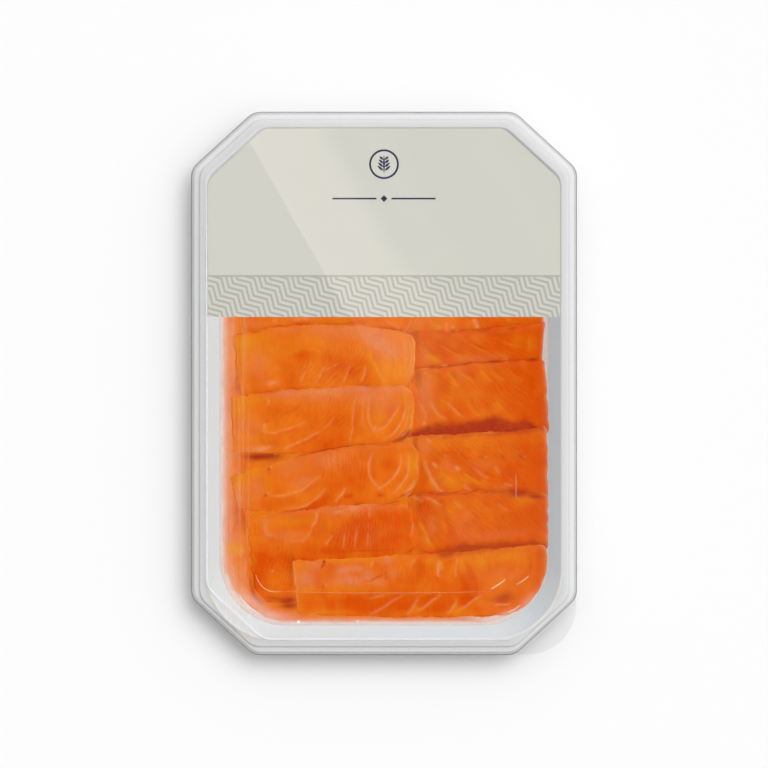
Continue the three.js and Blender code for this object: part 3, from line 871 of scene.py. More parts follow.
def ornament(label):
    """A sprig of leaves in a thin ring, over a rule broken by a small diamond."""
    centre = np.array(ORNAMENT)
    angle = np.linspace(0, 2 * math.pi, RING_STEPS + 1)
    circle = np.stack([np.cos(angle), np.sin(angle)], axis=1)
    outer, inner = circle * label.medallion, circle * (label.medallion - RING_LINE)
    outlines = [centre + np.array([inner[k], outer[k], outer[k + 1], inner[k + 1]])
                for k in range(RING_STEPS)]
    outlines.append(leaf(centre - (0, STEM / 2), math.pi / 2, STEM, STEM_WIDTH))
    for place, size in LEAVES:
        for side in (-1, 1):
            start = centre + (side * LEAF_SIDE, place * STEM)
            outlines.append(leaf(start, math.pi / 2 - side * LEAF_ANGLE, size, LEAF_WIDTH))
    for side in (-1, 1):
        left, right = sorted(side * end for end in RULE_ENDS)
        low, high = RULE - RULE_HALF, RULE + RULE_HALF
        outlines.append(np.array([[left, low], [right, low], [right, high], [left, high]]))
    outlines.append(np.array([[0, RULE - DIAMOND], [DIAMOND, RULE], [0, RULE + DIAMOND], [-DIAMOND, RULE]]))
    return outlines


class SALMON_OT_label(bpy.types.Operator):
    """Prints the field, the zigzag band and the ornament on the film's inner side"""

    bl_idname = "salmon.label"
    bl_label = "Label"

    def execute(self, context):
        tray, label = context.scene.salmon_tray, context.scene.salmon_label
        high = tray.rim + FILM_FLOAT - INK_DEPTH
        split = label.foot + label.band
        head = tray.length / 2 - label.inset
        field, border = label_sheet(tray, label, split, head, high)
        add_piece("label_field", field, printed_field(label), fields={"border": border},
                  thin=True)
        band, border = label_sheet(tray, label, label.foot, split, high)
        head_line = smooth(*(split - depth for depth in HEAD_LINE), band[0][:, 1])
        add_piece("label_band", band, printed_zigzag(label),
                  fields={"border": np.maximum(border, head_line)}, thin=True)
        plates = prism(ornament(label), *(high + height for height in PLATES))
        add_piece("label_ornament", plates, printed_navy(label), thin=True)
        return {"FINISHED"}


# ---- Salmon -----------------------------------------------------------------------------------

STACK_HEIGHT = 1.6 * MM
SLOPE = 0.1
SEAM_THICKNESS = 0.8 * MM
SEAM_START = 3 * MM
SEAM_TAPER = 9 * MM
GRID_STEP = 0.32 * MM
LINE_SIDE = 1.3 * MM  # how far a line in the flesh shades it on its right-hand side and lights it on its left
LINE_POINTS = 17
TUCK = 1.45 * MM  # how far a right slice's upper corner is tucked under the left column
END_WOBBLE = (0.7 * MM, 0.5 * MM)  # how uneven the left and the right end are
END_CELL = 2.6 * MM
EDGE_WOBBLE = ((0.9 * MM, 5 * MM), (0.5 * MM, MM))  # of the upper and the lower edge, and their cells
SHEET_MIDDLE = 0.34  # how far up its thickness a slice's blunt border lies
BORDER_BLUNT = 0.04  # and how thick that border is
DIMPLES = ((0.1, 8 * MM), (0.07, 2.2 * MM))  # depths as shares of the thickness, and their cells

# Each slice, in millimetres: its left and right end, the Y of its upper and lower edge at the left end, the
# middle and the right end, how far each end leans to +X from the upper to the lower edge, and how deep its
# colour is at the left and at the right.
LEFT = (
    (-52.5, 11, (78, 79, 79), (59, 62.5, 60.5), (0, 0), (0.35, 0.35)),
    (-52, 11.4, (61, 64.5, 62.5), (37.5, 41, 38.5), (0, 0), (0.35, 0.35)),
    (-52.2, 10.6, (39.5, 43, 40.5), (14.5, 18.5, 15.5), (3.4, 0), (0.32, 0.34)),
    (-53, 11.4, (16.9, 20.7, 17.6), (-4.5, -3.6, -2.2), (2.7, -1), (0.34, 0.2)),
    (-53.7, 10.9, (-4.6, -1.4, -0.8), (-24.1, -24.4, -21.5), (1, -0.6), (0.34, 0.36)),
    (-54, 12.1, (-32.5, -23.4, -20.7), (-43.5, -45.3, -39.5), (2.6, 0), (0.3, 0.46)),
    (-47.9, 10.2, (-47.3, -43.1, -42.1), (-75.5, -77, -72), (2.6, 0), (0.4, 0.72)),
)
RIGHT = (
    (8, 56, (79, 79, 78), (61.5, 61, 61), (0, 0), (0.5, 0.8)),
    (8, 56, (63.5, 63, 63), (41, 40, 40), (0, 0), (0.5, 0.8)),
    (8, 56.4, (43, 42, 42), (16.8, 16.8, 19.5), (0, -0.4), (0.42, 0.72)),
    (7.6, 56.5, (18.6, 18.8, 21.8), (3, 5, 6.4), (0, -1.2), (0.82, 1)),
    (8.4, 56.2, (4.4, 7, 8.4), (-20, -19.2, -17.5), (0, 1.9), (0.6, 0.92)),
    (7.4, 57.1, (-18.2, -17.2, -15.2), (-41, -39.8, -41), (0, 0.2), (0.5, 0.86)),
    (8.4, 57.4, (-39.2, -37.9, -39), (-62, -60.5, -58), (0, 0.2), (0.54, 0.9)),
)
FOOT = (-32.5, 57, (-61.8, -59.8, -56.2), (-80.6, -81.8, -80.4), (2.4, 0), (0.36, 0.6))


# The radii of a slice's corners at the upper left and right and the lower left and right, in millimetres.
RADII = {"left": (1.4, 6, 1.5, 8.5), "left_1": (15, 6, 1.5, 8.5), "left_5": (1.4, 6, 1.5, 9.5),
         "left_7": (1.4, 6, 7, 8.5), "right": (2.5, 1.5, 2.5, 1.5), "right_1": (2.5, 15, 2.5, 1.5),
         "foot": (1.5, 2.5, 1.5, 17)}
# The columns: their name and rows, the layer of their first slice, and the side on which they are thin.
COLUMNS = (("left", LEFT, -1.5, "right"), ("right", RIGHT, -2.0, "left"))
FOOT_LAYER = 5.5


def slice_specs():
    """Every slice from the label end to the foot end: its name, column, row, layer and thin side, and the
    name and row of the slice that lies over its lower edge."""
    specs = []
    for column, rows, layer, seam in COLUMNS:
        names = [f"{column}_{k + 1}" for k in range(len(rows))]
        after = [*zip(names[1:], rows[1:]), ("foot", FOOT)]
        specs += [(names[k], column, row, layer + k, seam, after[k]) for k, row in enumerate(rows)]
    return [*specs, ("foot", "foot", FOOT, FOOT_LAYER, None, None)]


# Painted shade in the joints: the slices cast no shadow, so the shade where one lies on the next is drawn in
# their colour.
JOINT_HALF = 0.42 * MM  # half width of the dark line along a slice's upper edge
SHADE_REACH = 1.1 * MM  # how far a slice deepens towards the one that covers it
SHADE_LINE = 0.5 * MM  # half width of the brown line right at that slice
WANDER = (0.35, 0.85)  # between these values of a noise a joint's dark line fades in
# A painted highlight as a pink rim below each slice's upper edge.
RIM_DEPTH, RIM_HALF = 1.1 * MM, 1.3 * MM  # where the rosy rim lies below the upper edge, and its half width
# A painted pale line inside each end lightens the shade of its blunt border.
END_DEPTH, END_HALF = 0.6 * MM, 0.4 * MM  # where the pale line lies inside an end, and its half width
# How dark the painted shade along a slice's upper edge is, and how strong the painted highlight of the pink
# rim below it.
JOINTS = {"left_4": (0.7, 0.3), "left_5": (0.4, 0.75), "left_6": (0.85, 0.2), "left_7": (0.6, 0.2),
          "foot": (0.3, 0.1), "right_4": (0.6, 0.1), "right_5": (1.2, 0.1), "right_7": (1.0, 0.1)}
ANY_JOINT = (1.0, 0.1)


# Lines in the flesh by slice and field, in millimetres: the start, middle and end of each curve, its width
# and its strength. A fat or dried line gets painted shade on its right-hand side and painted light on its
# left, and the brown and deeper lines are partly painted shade.
LINES = {
    "left_3": {
        "fat": (
            (-38.9, 21.3, -38, 21.7, -37.2, 21.7, 0.7, 0.3), (-31.5, 22.2, -30, 22.4, -25, 22.2, 0.5, 0.2),
            (0.5, 22, 3.2, 20.2, 5.5, 18.7, 0.35, 0.28),
        ),
        "deep": ((-13, 21.4, -9.7, 21.6, -6, 21.2, 1, 0.4),),
    },
    "left_4": {
        "fat": (
            (-29.6, 0.8, -28.2, 2.2, -26.9, 4.4, 0.34, 0.26),
            (-24.2, -0.2, -22.3, 2.6, -20.9, 6.2, 0.34, 0.32),
            (-21.7, 3.6, -18.4, 5.6, -15.4, 7.2, 0.3, 0.22), (-14.6, 0.2, -12.7, 3, -11.7, 6.4, 0.32, 0.36),
            (-8.2, 0.4, -7.1, 3.3, -6.7, 6.4, 0.32, 0.34), (9.2, 16, 10.9, 10.4, 8.6, 2, 0.5, 0.34),
            (8.2, 15.4, 9.7, 9.8, 7.2, 2.4, 0.34, 0.24), (5, 15.8, 7.6, 10, 4.4, 1.4, 0.4, 0.2),
        ),
        "tip": ((1.4, -0.2, -2.6, 5.6, -5.8, 12.2, 0.7, 0.36), (-34, 9.5, -28, 11.6, -21, 9.6, 0.8, 0.2)),
    },
    "left_5": {
        "fat": (
            (-43, -15.6, -38.4, -17.2, -27, -13.4, 0.38, 0.3),
            (-40.5, -5.5, -40.5, -6.8, -40.6, -8, 0.32, 0.34),
            (-42.4, -14.2, -42, -15.2, -41.6, -16.4, 0.4, 0.4),
            (-35.5, -23.2, -27.6, -19.8, -22, -16.6, 0.38, 0.34),
            (-22, -16.6, -18.8, -14.2, -17.4, -11.4, 0.32, 0.2),
            (-11.8, -21.8, -10.9, -13, -9.7, -3.4, 0.36, 0.26),
            (-7.4, -15.8, -7.1, -9.7, -7.4, -3.6, 0.34, 0.18),
            (-3, -16.2, -5.3, -12, -4.9, -3.6, 0.38, 0.32), (5.2, -7.4, 1.6, -13.4, -2.8, -16.2, 0.4, 0.36),
            (7.5, -4, 5.6, -14.2, -1, -19.4, 0.36, 0.32), (9.1, -3, 9, -14.6, 4.3, -19.2, 0.38, 0.34),
            (8.2, -3, 7.6, -13.6, 2.4, -20.4, 0.3, 0.22),
        ),
        "meat_and_shade": (
            (-42.7, -17.2, -42.8, -18.8, -42.6, -20.6, 0.3, 0.3),
            (-38, -8.4, -33.6, -10.2, -29, -7, 0.4, 0.22), (4, -21.4, 6.2, -20.8, 8.2, -19.6, 0.5, 0.4),
        ),
        "tip": ((-31, -4.6, -23, -3.2, -14, -5.4, 0.9, 0.3),),
    },
    "left_6": {
        "fat": (
            (-40.4, -38.7, -31.6, -38.5, -22, -31.8, 0.38, 0.34),
            (-35.8, -44, -27, -42.6, -20, -36.4, 0.34, 0.34),
            (-17.2, -41.2, -15, -39.2, -13.7, -36.4, 0.36, 0.38),
            (-41, -38, -40.6, -38.6, -40, -39, 0.4, 0.4),
            (-40.2, -29.3, -39.8, -29.5, -39.4, -29.6, 0.4, 0.35),
            (-1.6, -36.7, -4.9, -31, -3.8, -24, 0.42, 0.36),
            (5.9, -24.4, 4.3, -31.4, -1.4, -36.7, 0.4, 0.36), (8.4, -24, 7.6, -32.4, 2.5, -38.8, 0.4, 0.34),
            (11.2, -34, 9.3, -36.6, 6.8, -38.7, 0.5, 0.42),
            (-2.2, -36.4, -1.6, -36.8, -1, -36.5, 0.6, 0.35),
        ),
        "deep": (
            (-33, -44.6, -25, -43.2, -19.4, -38.4, 0.9, 0.5),
            (-14.2, -39.6, -12.5, -39.6, -10.8, -39.4, 0.7, 0.5),
            (-2.4, -39.2, -1, -39.2, 0.4, -39.2, 0.6, 0.5),
        ),
    },
    "left_7": {
        "fat": (
            (-25.4, -50.6, -23.5, -47.6, -23.7, -45.3, 0.36, 0.36),
            (-40.9, -47.4, -41.4, -52.4, -35.5, -54.3, 0.5, 0.2),
            (-35.5, -54.3, -27.4, -54.6, -24.4, -47.4, 0.5, 0.18),
            (-20.5, -56.6, -18.9, -54.6, -17.8, -52.8, 0.32, 0.3),
            (-14.5, -58, -14.1, -55, -13.7, -52, 0.32, 0.3),
            (-10.4, -57.6, -10.1, -54, -9.5, -50, 0.34, 0.28),
            (-6, -57.2, -5.9, -54.6, -5.8, -52, 0.32, 0.26), (-5, -42.6, -5.1, -45, -5, -47.5, 0.32, 0.32),
            (-17.6, -45, -16.5, -44.8, -15.2, -44.5, 0.5, 0.25),
            (10.6, -47, 10.1, -50.4, 9, -53.6, 0.42, 0.28), (5.5, -42.8, 7, -43, 8.4, -43.6, 0.3, 0.25),
            (-39.3, -65.6, -39, -65.8, -38.7, -65.6, 0.5, 0.4),
        ),
        "deep": ((-22, -57.4, -19, -58.6, -15.5, -58.6, 1, 0.6),),
        "meat_and_shade": ((-45, -66, -44.8, -72, -43.2, -75.6, 0.35, 0.5),),
    },
    "right_3": {
        "fat": (
            (20, 18.8, 18.2, 20.7, 15.6, 22.6, 0.4, 0.15), (22, 17.4, 22, 19.6, 21.8, 21.6, 0.8, 0.26),
            (23.2, 19.2, 24, 19.4, 24.9, 19, 0.5, 0.42), (33.4, 19.3, 32.4, 20.8, 31.1, 22.8, 0.7, 0.47),
        ),
        "tip": ((43, 21.4, 43.8, 22, 44.8, 22.8, 1, 0.22),),
    },
    "right_4": {
        "deep": ((20.6, 7.4, 17, 10.8, 13.8, 13.8, 0.5, 0.6),),
        "tip": (
            (20, 7, 16.6, 9.6, 15.4, 11, 1, 0.36), (28.2, 8.6, 24.4, 10.8, 19.8, 13.2, 0.45, 0.24),
            (38.6, 9.2, 34.6, 11.4, 29.6, 14.2, 0.45, 0.2), (48.2, 12.4, 44.2, 13.8, 40, 15.6, 0.35, 0.24),
            (43.6, 9, 40.6, 10.4, 37.6, 10.8, 0.7, 0.21), (51.2, 11, 51, 14, 51.2, 17, 0.5, 0.24),
        ),
        "meat_and_shade": ((25.6, 10.9, 22.8, 12.3, 20, 14, 0.3, 0.34), (36, 11.9, 32.6, 13.3, 29.2, 15.2, 0.3, 0.4)),
        "fat": (
            (22.4, 6.5, 21, 6.6, 19.6, 6.4, 0.32, 0.45), (43.8, 8.3, 42.6, 8.4, 41.4, 8.2, 0.28, 0.3),
            (10, 9, 9.6, 12, 9.8, 16, 0.5, 0.15),
        ),
    },
    "right_5": {
        "tip": (
            (16.8, 2.2, 15.4, 3.2, 14, 4, 0.5, 0.26), (34, -11.6, 31.4, -9, 29, -6, 0.5, 0.26),
            (26.2, -1.2, 24, 1.6, 22.2, 4.8, 0.5, 0.33), (31.6, 0.2, 29, 2.6, 26, 4.9, 0.45, 0.33),
            (38.2, 0.4, 35.6, 3, 33.4, 5.6, 0.5, 0.29), (42.2, 0.8, 40, 2.6, 37, 5.6, 0.4, 0.29),
            (48.6, 0.6, 45.6, 3, 42.6, 5.4, 0.4, 0.2), (44, -11.6, 41.6, -9, 39.4, -5.6, 0.5, 0.16),
        ),
        "fat": (
            (14.4, -13.8, 14.2, -10.2, 12, -7, 0.4, 0.24),
            (22.2, -12.4, 18.2, -10.2, 16.2, -5.8, 0.46, 0.33),
            (27.6, -12.2, 24.6, -9.2, 22.2, -6, 0.4, 0.26),
        ),
        "deep": ((22.2, -5, 22.4, -1, 22, 2.6, 0.5, 0.4),),
    },
    "right_6": {
        "fat": (
            (22.4, -38.6, 17.6, -34.8, 14, -26.8, 0.55, 0.4),
            (22.6, -38.7, 20.6, -37.6, 18.6, -35.6, 0.6, 0.26),
            (18.9, -29.7, 17.8, -28.7, 16.7, -27.8, 0.5, 0.4),
            (26.8, -30.6, 25.8, -29.6, 24.6, -28.6, 0.42, 0.4),
            (36.8, -33.4, 34, -31.8, 31.6, -29.4, 0.5, 0.22),
            (40.9, -31.4, 39.8, -30.4, 38.6, -29.2, 0.42, 0.28),
            (45.2, -36, 43.8, -35.6, 42, -34.6, 0.4, 0.24), (30.6, -38, 29.2, -36.8, 28, -34.8, 0.55, 0.33),
            (16.6, -20.4, 15.6, -19.8, 14.5, -19.3, 0.35, 0.33),
            (10.8, -21.6, 10.2, -20.2, 9.8, -18.8, 0.4, 0.26),
            (39.6, -16.9, 35.4, -17, 31, -16.8, 0.4, 0.26),
        ),
        "tip": (
            (25.6, -34.6, 22.2, -32.2, 19.4, -30.4, 0.4, 0.31),
            (34, -35.6, 31, -33.4, 27.6, -31.6, 0.42, 0.34),
        ),
        "meat_and_shade": (
            (11.8, -24, 11, -21.8, 10.2, -19.2, 0.3, 0.4), (13.2, -27, 13.2, -29, 13.4, -31.6, 0.4, 0.3),
            (41.9, -17.2, 38, -17.9, 33.4, -17.5, 0.34, 0.5),
        ),
    },
    "right_7": {
        "fat": (
            (13.8, -41, 12.2, -40.5, 10.4, -39.7, 0.45, 0.29),
            (20.2, -43.4, 17.6, -41.2, 14.3, -39.8, 0.42, 0.38),
            (27.6, -43.8, 25.8, -42, 24, -40.4, 0.34, 0.18),
            (44, -45, 41.8, -43.4, 39.6, -42.2, 0.34, 0.18),
            (36.6, -44.6, 34.8, -43, 33, -41.4, 0.34, 0.13), (10, -49, 9.4, -51.4, 8.6, -54.6, 0.5, 0.24),
        ),
        "meat_and_shade": (
            (13.7, -43.2, 14, -42.4, 14.3, -41.7, 0.25, 0.4),
            (18.6, -50.2, 18, -49.2, 17.3, -48, 0.28, 0.4),
            (30.6, -50.4, 29.4, -49.2, 28.3, -47.8, 0.24, 0.24),
            (29.6, -51, 28.8, -50, 27.9, -48.8, 0.24, 0.2),
        ),
        "tip": ((17.6, -58.2, 14.6, -52, 11.8, -48, 0.7, 0.41),),
        "deep": (
            (17.2, -55.4, 15.8, -52.6, 14.2, -49.8, 0.6, 0.5),
            (25.2, -56, 22.8, -49, 19.6, -40.6, 1.1, 0.5),
        ),
    },
    "foot": {
        "fat": (
            (-31.9, -62.2, -31, -70.6, -29.9, -81, 0.34, 0.4),
            (-20.8, -70.3, -20.5, -70.8, -20.6, -71.4, 0.35, 0.32),
            (19.1, -67.8, 19, -64.6, 19.7, -61.8, 0.55, 0.5),
            (25.2, -68, 25.2, -64.6, 25.9, -61.4, 0.45, 0.29),
            (9.6, -64.4, 10.2, -62.8, 10.9, -61, 0.5, 0.24),
            (-3.9, -64.2, -3.8, -63, -3.6, -61.8, 0.5, 0.2), (7, -73.5, 0, -78.2, -5.2, -81, 0.42, 0.29),
            (0.2, -73.7, -2.6, -74.4, -5.2, -75.2, 0.34, 0.24), (12, -74.6, 9.9, -78, 7.8, -81, 0.42, 0.34),
            (20, -73.6, 15.4, -77.2, 11.6, -79.3, 0.42, 0.34),
            (25.6, -75, 24, -78.2, 22, -80.8, 0.42, 0.32),
            (34.2, -73.6, 30.4, -76.6, 26.4, -79, 0.42, 0.32),
            (44, -77.5, 41, -77.2, 38.4, -77.4, 0.3, 0.4),
        ),
        "tip": ((21.2, -64.6, 20.4, -63.4, 20.2, -62, 1, 0.42),),
        "meat_and_shade": (
            (-7.2, -69.6, -2.8, -68, 2.2, -65.4, 0.3, 0.3),
            (43.6, -78, 41.6, -78.2, 39.8, -78.2, 0.3, 0.45),
        ),
        "deep": ((33, -73.2, 30.6, -67, 27.8, -61.4, 0.8, 0.5),),
    },
    "bed": {
        "meat_and_shade": (
            (-51.7, 3.4, -50.9, 0.6, -50, -3.8, 0.7, 0.4), (-51.6, -43, -52, -47, -52.2, -52, 0.4, 0.35),
            (-49.8, -44, -49.4, -48, -48.8, -53, 0.5, 0.4),
            (-46.6, -68, -45.4, -74.6, -42.2, -77.6, 0.9, 0.4),
        ),
        "fat": ((-48.4, -61, -48.8, -65, -48, -71, 0.4, 0.3),),
    },
}

# Zones by slice and field: the middle and half widths in millimetres, the turn in degrees and the strength.
# Deeper and brown zones are partly painted shade, pink ones partly painted highlights, and border zones
# painted sheen.
ZONES = {
    "left_3": {
        "rosy_and_highlight": ((-46, 20.8, 5, 1.8, 0, 0.26), (-28, 22.6, 8, 1, 0, 0.26)),
        "tip": ((-12, 20, 10, 1.6, 0, 0.24),),
    },
    "left_4": {
        "tip": (
            (-49, 13.8, 4.6, 3.4, 15, 0.64), (-49.4, 6, 2.2, 7, 8, 0.4), (-44, 16.2, 5, 1.8, 8, 0.36),
            (-38, 12.5, 6, 3, 10, 0.24), (4, 5, 6, 5, 0, 0.4),
        ),
        "deep": (
            (-50.6, 9, 1.4, 8, 8, 0.3), (-27.5, 9.6, 3.6, 3, 10, 0.35), (-17, 7, 6, 5, -4, 0.35),
            (-9, 3.5, 7, 3.4, 0, 0.29), (-33, 4, 5, 4, 0, 0.17),
        ),
        "rosy_and_highlight": (
            (-44, 7, 4, 5.5, 0, 0.36), (-14, 17.8, 13, 2.4, -2, 0.36), (-1.8, 14.4, 6.4, 3.2, -30, 0.85),
            (3.4, 10.6, 3, 3.2, 0, 0.5), (7.6, 14.2, 1.4, 2.6, -25, 0.34), (9.4, 9, 2, 7, 0, 0.3),
        ),
        "fat": ((-38.8, 0.1, 2, 1, 0, 0.4),),
    },
    "left_5": {
        "tip": (
            (-50, -8, 4, 4.4, 0, 0.56), (-44, -5.6, 4, 1.4, 5, 0.36), (-46, -19.5, 6, 2.6, 0, 0.25),
            (-1.5, -12.3, 1.8, 2, 0, 0.4), (8.2, -7, 1.8, 6, 0, 0.4),
        ),
        "rosy_and_highlight": (
            (-48, -15.5, 4.5, 5, 0, 0.34), (-22, -4, 12, 2, 0, 0.42), (-6.5, -5, 3, 3, 0, 0.38),
            (-3.2, -3.6, 3.4, 2, 0, 0.34), (0.6, -6.5, 3.8, 4.8, -12, 0.42),
            (-46.6, -23.4, 4.6, 1.2, 4, 0.51),
        ),
        "meat_and_shade": (
            (8.6, -17, 2, 1, 40, 0.5), (6.6, -19.2, 3.6, 1.3, 26, 0.8), (-41, -13.4, 0.4, 0.6, 0, 0.4),
        ),
        "fat": ((-42.2, -22.8, 2.8, 0.8, 10, 0.5), (-3.2, -15.8, 0.8, 1, 0, 0.35)),
        "deep": (
            (-38.4, -21.4, 2.2, 1.8, 0, 0.35), (-14.5, -14, 3.6, 6, 0, 0.16), (-33.5, -9, 6, 2.2, 0, 0.28),
            (-31, -20.4, 4, 1.6, 20, 0.21), (-21, -21, 7, 2.2, 8, 0.24), (2, -9, 2.4, 5, -20, 0.21),
        ),
    },
    "left_6": {
        "tip": (
            (-51, -33.6, 4, 3.4, 30, 0.6), (-44.6, -30.4, 3, 2.6, 18, 0.48), (-36, -26.6, 4, 1.2, 10, 0.36),
            (-40.5, -34.4, 2, 3.4, 0, 0.28), (10.4, -28.6, 1.8, 6, 0, 0.44),
        ),
        "rosy_and_highlight": (
            (-51, -40, 2.6, 4, 10, 0.47), (-44.4, -36.6, 2.2, 4, 0, 0.42),
            (-28.6, -34.4, 4.5, 1.8, 20, 0.42), (-20, -27, 6, 2.4, 6, 0.36), (-33, -29.5, 5, 3, 12, 0.26),
        ),
        "deep": (
            (-34, -41.6, 7, 1.6, 5, 0.24), (-18, -36.6, 3, 3, 0, 0.39), (-10, -33, 6, 4, 0, 0.21),
            (1.3, -27.5, 2.6, 4.6, -8, 0.42), (-22, -41.6, 6, 1.4, 8, 0.24),
        ),
        "meat_and_shade": ((-40.5, -29.9, 0.4, 0.6, 0, 0.7), (-41.5, -39.4, 0.5, 0.4, 0, 0.7)),
    },
    "left_7": {
        "tip": ((-33, -48.2, 7.5, 1.8, 4, 0.44), (-40, -73.5, 3, 1.6, 0, 0.12)),
        "rosy_and_highlight": ((-41, -50, 1.6, 4, 0, 0.3), (-33, -53, 6, 1.6, 0, 0.29), (-12, -43.6, 10, 2, 4, 0.42)),
        "fat": ((-10.5, -43.4, 1.6, 0.8, 0, 0.3),),
        "deep": (
            (-10, -53.5, 8, 4.6, 0, 0.35), (3, -51.5, 5, 5.6, 0, 0.32), (-25, -58, 4, 2.2, 0, 0.32),
            (-36, -62, 8, 3.6, -6, 0.42), (-43.5, -66, 3.8, 8.5, 0, 0.56), (-40, -72.6, 5, 2.6, 0, 0.22),
            (8, -48, 2.4, 6, -14, 0.08),
        ),
        "meat_and_shade": (
            (-33.6, -76, 2.6, 1.2, 0, 0.9), (-38.5, -75.2, 2.6, 0.8, -8, 0.5),
            (-37, -57.5, 0.5, 0.5, 0, 0.35), (-32.4, -66, 0.8, 6, 0, 0.35),
        ),
    },
    "right_3": {
        "tip": ((18.6, 20, 1.8, 3, 0, 0.36), (29.6, 21, 1, 2, 0, 0.3)),
        "rosy_and_highlight": ((11, 21.4, 3, 2, 0, 0.26),),
        "deep": ((27, 20.4, 2.4, 2.4, 0, 0.21), (38, 20.6, 5, 2, 0, 0.14)),
        "meat_and_shade": ((49.8, 19.9, 4.6, 1.2, -2, 0.55),),
    },
    "right_4": {
        "tip": (
            (17.8, 8.4, 2, 2.2, -40, 0.24), (24, 14.2, 2.2, 1.8, 0, 0.17), (32.6, 15.6, 2.6, 1.8, 0, 0.19),
            (46.4, 16.2, 2.6, 2.4, 0, 0.26), (52.4, 13.6, 2, 4, 0, 0.22), (27.6, 9.4, 3, 1.6, 0, 0.14),
        ),
        "rosy_and_highlight": ((14.2, 10, 2, 4.6, 0, 0.3), (31, 8.6, 10, 1.2, 4, 0.21)),
        "deep": (
            (34, 10.6, 3, 1.8, -20, 0.21), (37.6, 14.6, 2, 2.4, 0, 0.21), (44, 10.6, 3.6, 1.8, 0, 0.28),
        ),
    },
    "right_5": {
        "rosy_and_highlight": ((14.2, -3.6, 3, 8.5, 0, 0.42), (27, 2.6, 2, 2.4, 0, 0.26)),
        "tip": (
            (24.6, 0, 2.2, 5, 30, 0.18), (20, -8, 2.4, 5, -30, 0.18), (28, -4, 3, 5, -30, 0.16),
            (40, -8.6, 2, 2, 0, 0.23),
        ),
        "deep": (
            (41, -4, 8, 4, 0, 0.1), (21, -3, 1.8, 3, 0, 0.24), (23, -10.6, 1.6, 2.2, 0, 0.24),
            (51, -4, 4, 8, 0, 0.17),
        ),
        "fat": ((14.2, -13.6, 0.6, 0.8, 0, 0.38),),
    },
    "right_6": {
        "tip": (
            (19, -20.4, 3, 2.6, 0, 0.25), (30, -20.8, 9, 2.2, 2, 0.2), (46, -19.6, 6, 2, 0, 0.2),
            (24, -35, 4, 3, -30, 0.3), (34.8, -35.4, 2, 1.4, 0, 0.25),
        ),
        "rosy_and_highlight": (
            (14, -22.4, 2.4, 3, 0, 0.29), (22.4, -28.8, 2, 1.8, 0, 0.27), (34, -28.4, 4, 1.6, 0, 0.18),
            (41, -36.8, 3, 1, 0, 0.18),
        ),
        "deep": (
            (14.6, -33, 1.9, 5, -14, 0.42), (31.4, -37, 1.6, 1.2, 0, 0.28),
            (43.6, -30.6, 1.6, 1.8, 0, 0.35),
        ),
        "meat_and_shade": (
            (19.8, -34.6, 0.8, 2.6, -38, 0.2), (20, -24.6, 1.2, 0.4, -40, 0.3),
            (27.2, -25.4, 1.2, 0.4, -40, 0.35), (28.6, -26.5, 0.8, 0.35, 0, 0.35),
            (30.4, -26, 0.5, 0.4, 0, 0.35), (34, -25.5, 1, 0.4, -30, 0.3),
            (41.4, -25.8, 1.5, 0.45, -48, 0.5), (48, -25.8, 1.2, 0.45, -35, 0.45),
            (49, -35.4, 0.7, 0.5, 0, 0.35), (41.4, -37.2, 2.6, 0.8, 0, 0.3),
        ),
        "fat": (
            (21.6, -25.2, 0.7, 0.35, -40, 0.23), (35.4, -25.5, 0.6, 0.4, -30, 0.23),
            (48.9, -25.6, 0.6, 0.35, -40, 0.23), (12.4, -18.1, 1.2, 0.3, 0, 0.23),
            (20, -18.3, 1.6, 0.3, 4, 0.26), (26.4, -17.6, 1.2, 0.3, 8, 0.26),
        ),
    },
    "right_7": {
        "deep": (
            (13.4, -46, 2.6, 5, -25, 0.34), (23.4, -52, 1.6, 3, -14, 0.28), (51, -50, 3.6, 6, 0, 0.17),
        ),
        "rosy_and_highlight": ((16.6, -51, 1.8, 4, -20, 0.27), (28, -49, 4, 5, 0, 0.18), (38, -53, 14, 1.8, 4, 0.2)),
        "tip": (
            (22.4, -44.4, 2.6, 3, 0, 0.18), (26.4, -42, 2.6, 2, -40, 0.24), (33, -41, 2, 1.4, 0, 0.21),
            (49, -41, 4, 1.4, 0, 0.24),
        ),
        "meat_and_shade": ((9.6, -44, 1, 4, 0, 0.3), (27, -57.4, 6, 1.3, 4, 0.8), (12.6, -52.4, 1.4, 0.8, -20, 0.25)),
    },
    "foot": {
        "tip": (
            (-29, -63.6, 3.4, 1.8, 4, 0.31), (-27, -72, 5, 1, 0, 0.34), (-9, -60.9, 12, 1.3, 3, 0.7),
            (-12, -72, 8, 1, 0, 0.31), (16, -62.2, 2.4, 1.4, 0, 0.41), (27.4, -63, 1.8, 2.6, 0, 0.41),
            (33.6, -62.4, 3, 2.6, 0, 0.51), (43, -60.4, 5, 1.8, 4, 0.48), (11.4, -79, 1.8, 1.4, 20, 0.37),
            (26, -79.6, 1.8, 1.4, 0, 0.37), (-18, -80.2, 7, 0.8, 0, 0.27),
        ),
        "rosy_and_highlight": (
            (-27.6, -68.4, 3.6, 3, -10, 0.77), (-24.6, -63.6, 3, 2, 0, 0.47),
            (-14.4, -65.4, 2.6, 1.8, 0, 0.81), (-9.6, -64.8, 3, 1.2, 0, 0.64),
            (-12, -69, 6.6, 1.6, 2, 0.72), (-5.6, -66.8, 2, 1.4, 20, 0.64), (1.4, -61.6, 2.2, 1.8, 0, 0.68),
            (3.2, -66.4, 1.8, 1.6, 0, 0.42), (-1.6, -69.4, 2.2, 1.4, 0, 0.51), (41, -67, 8, 3, 0, 0.16),
        ),
        "deep": (
            (-18.4, -66.8, 1.8, 3.2, 0, 0.21), (12.6, -64, 1.6, 4, 0, 0.35),
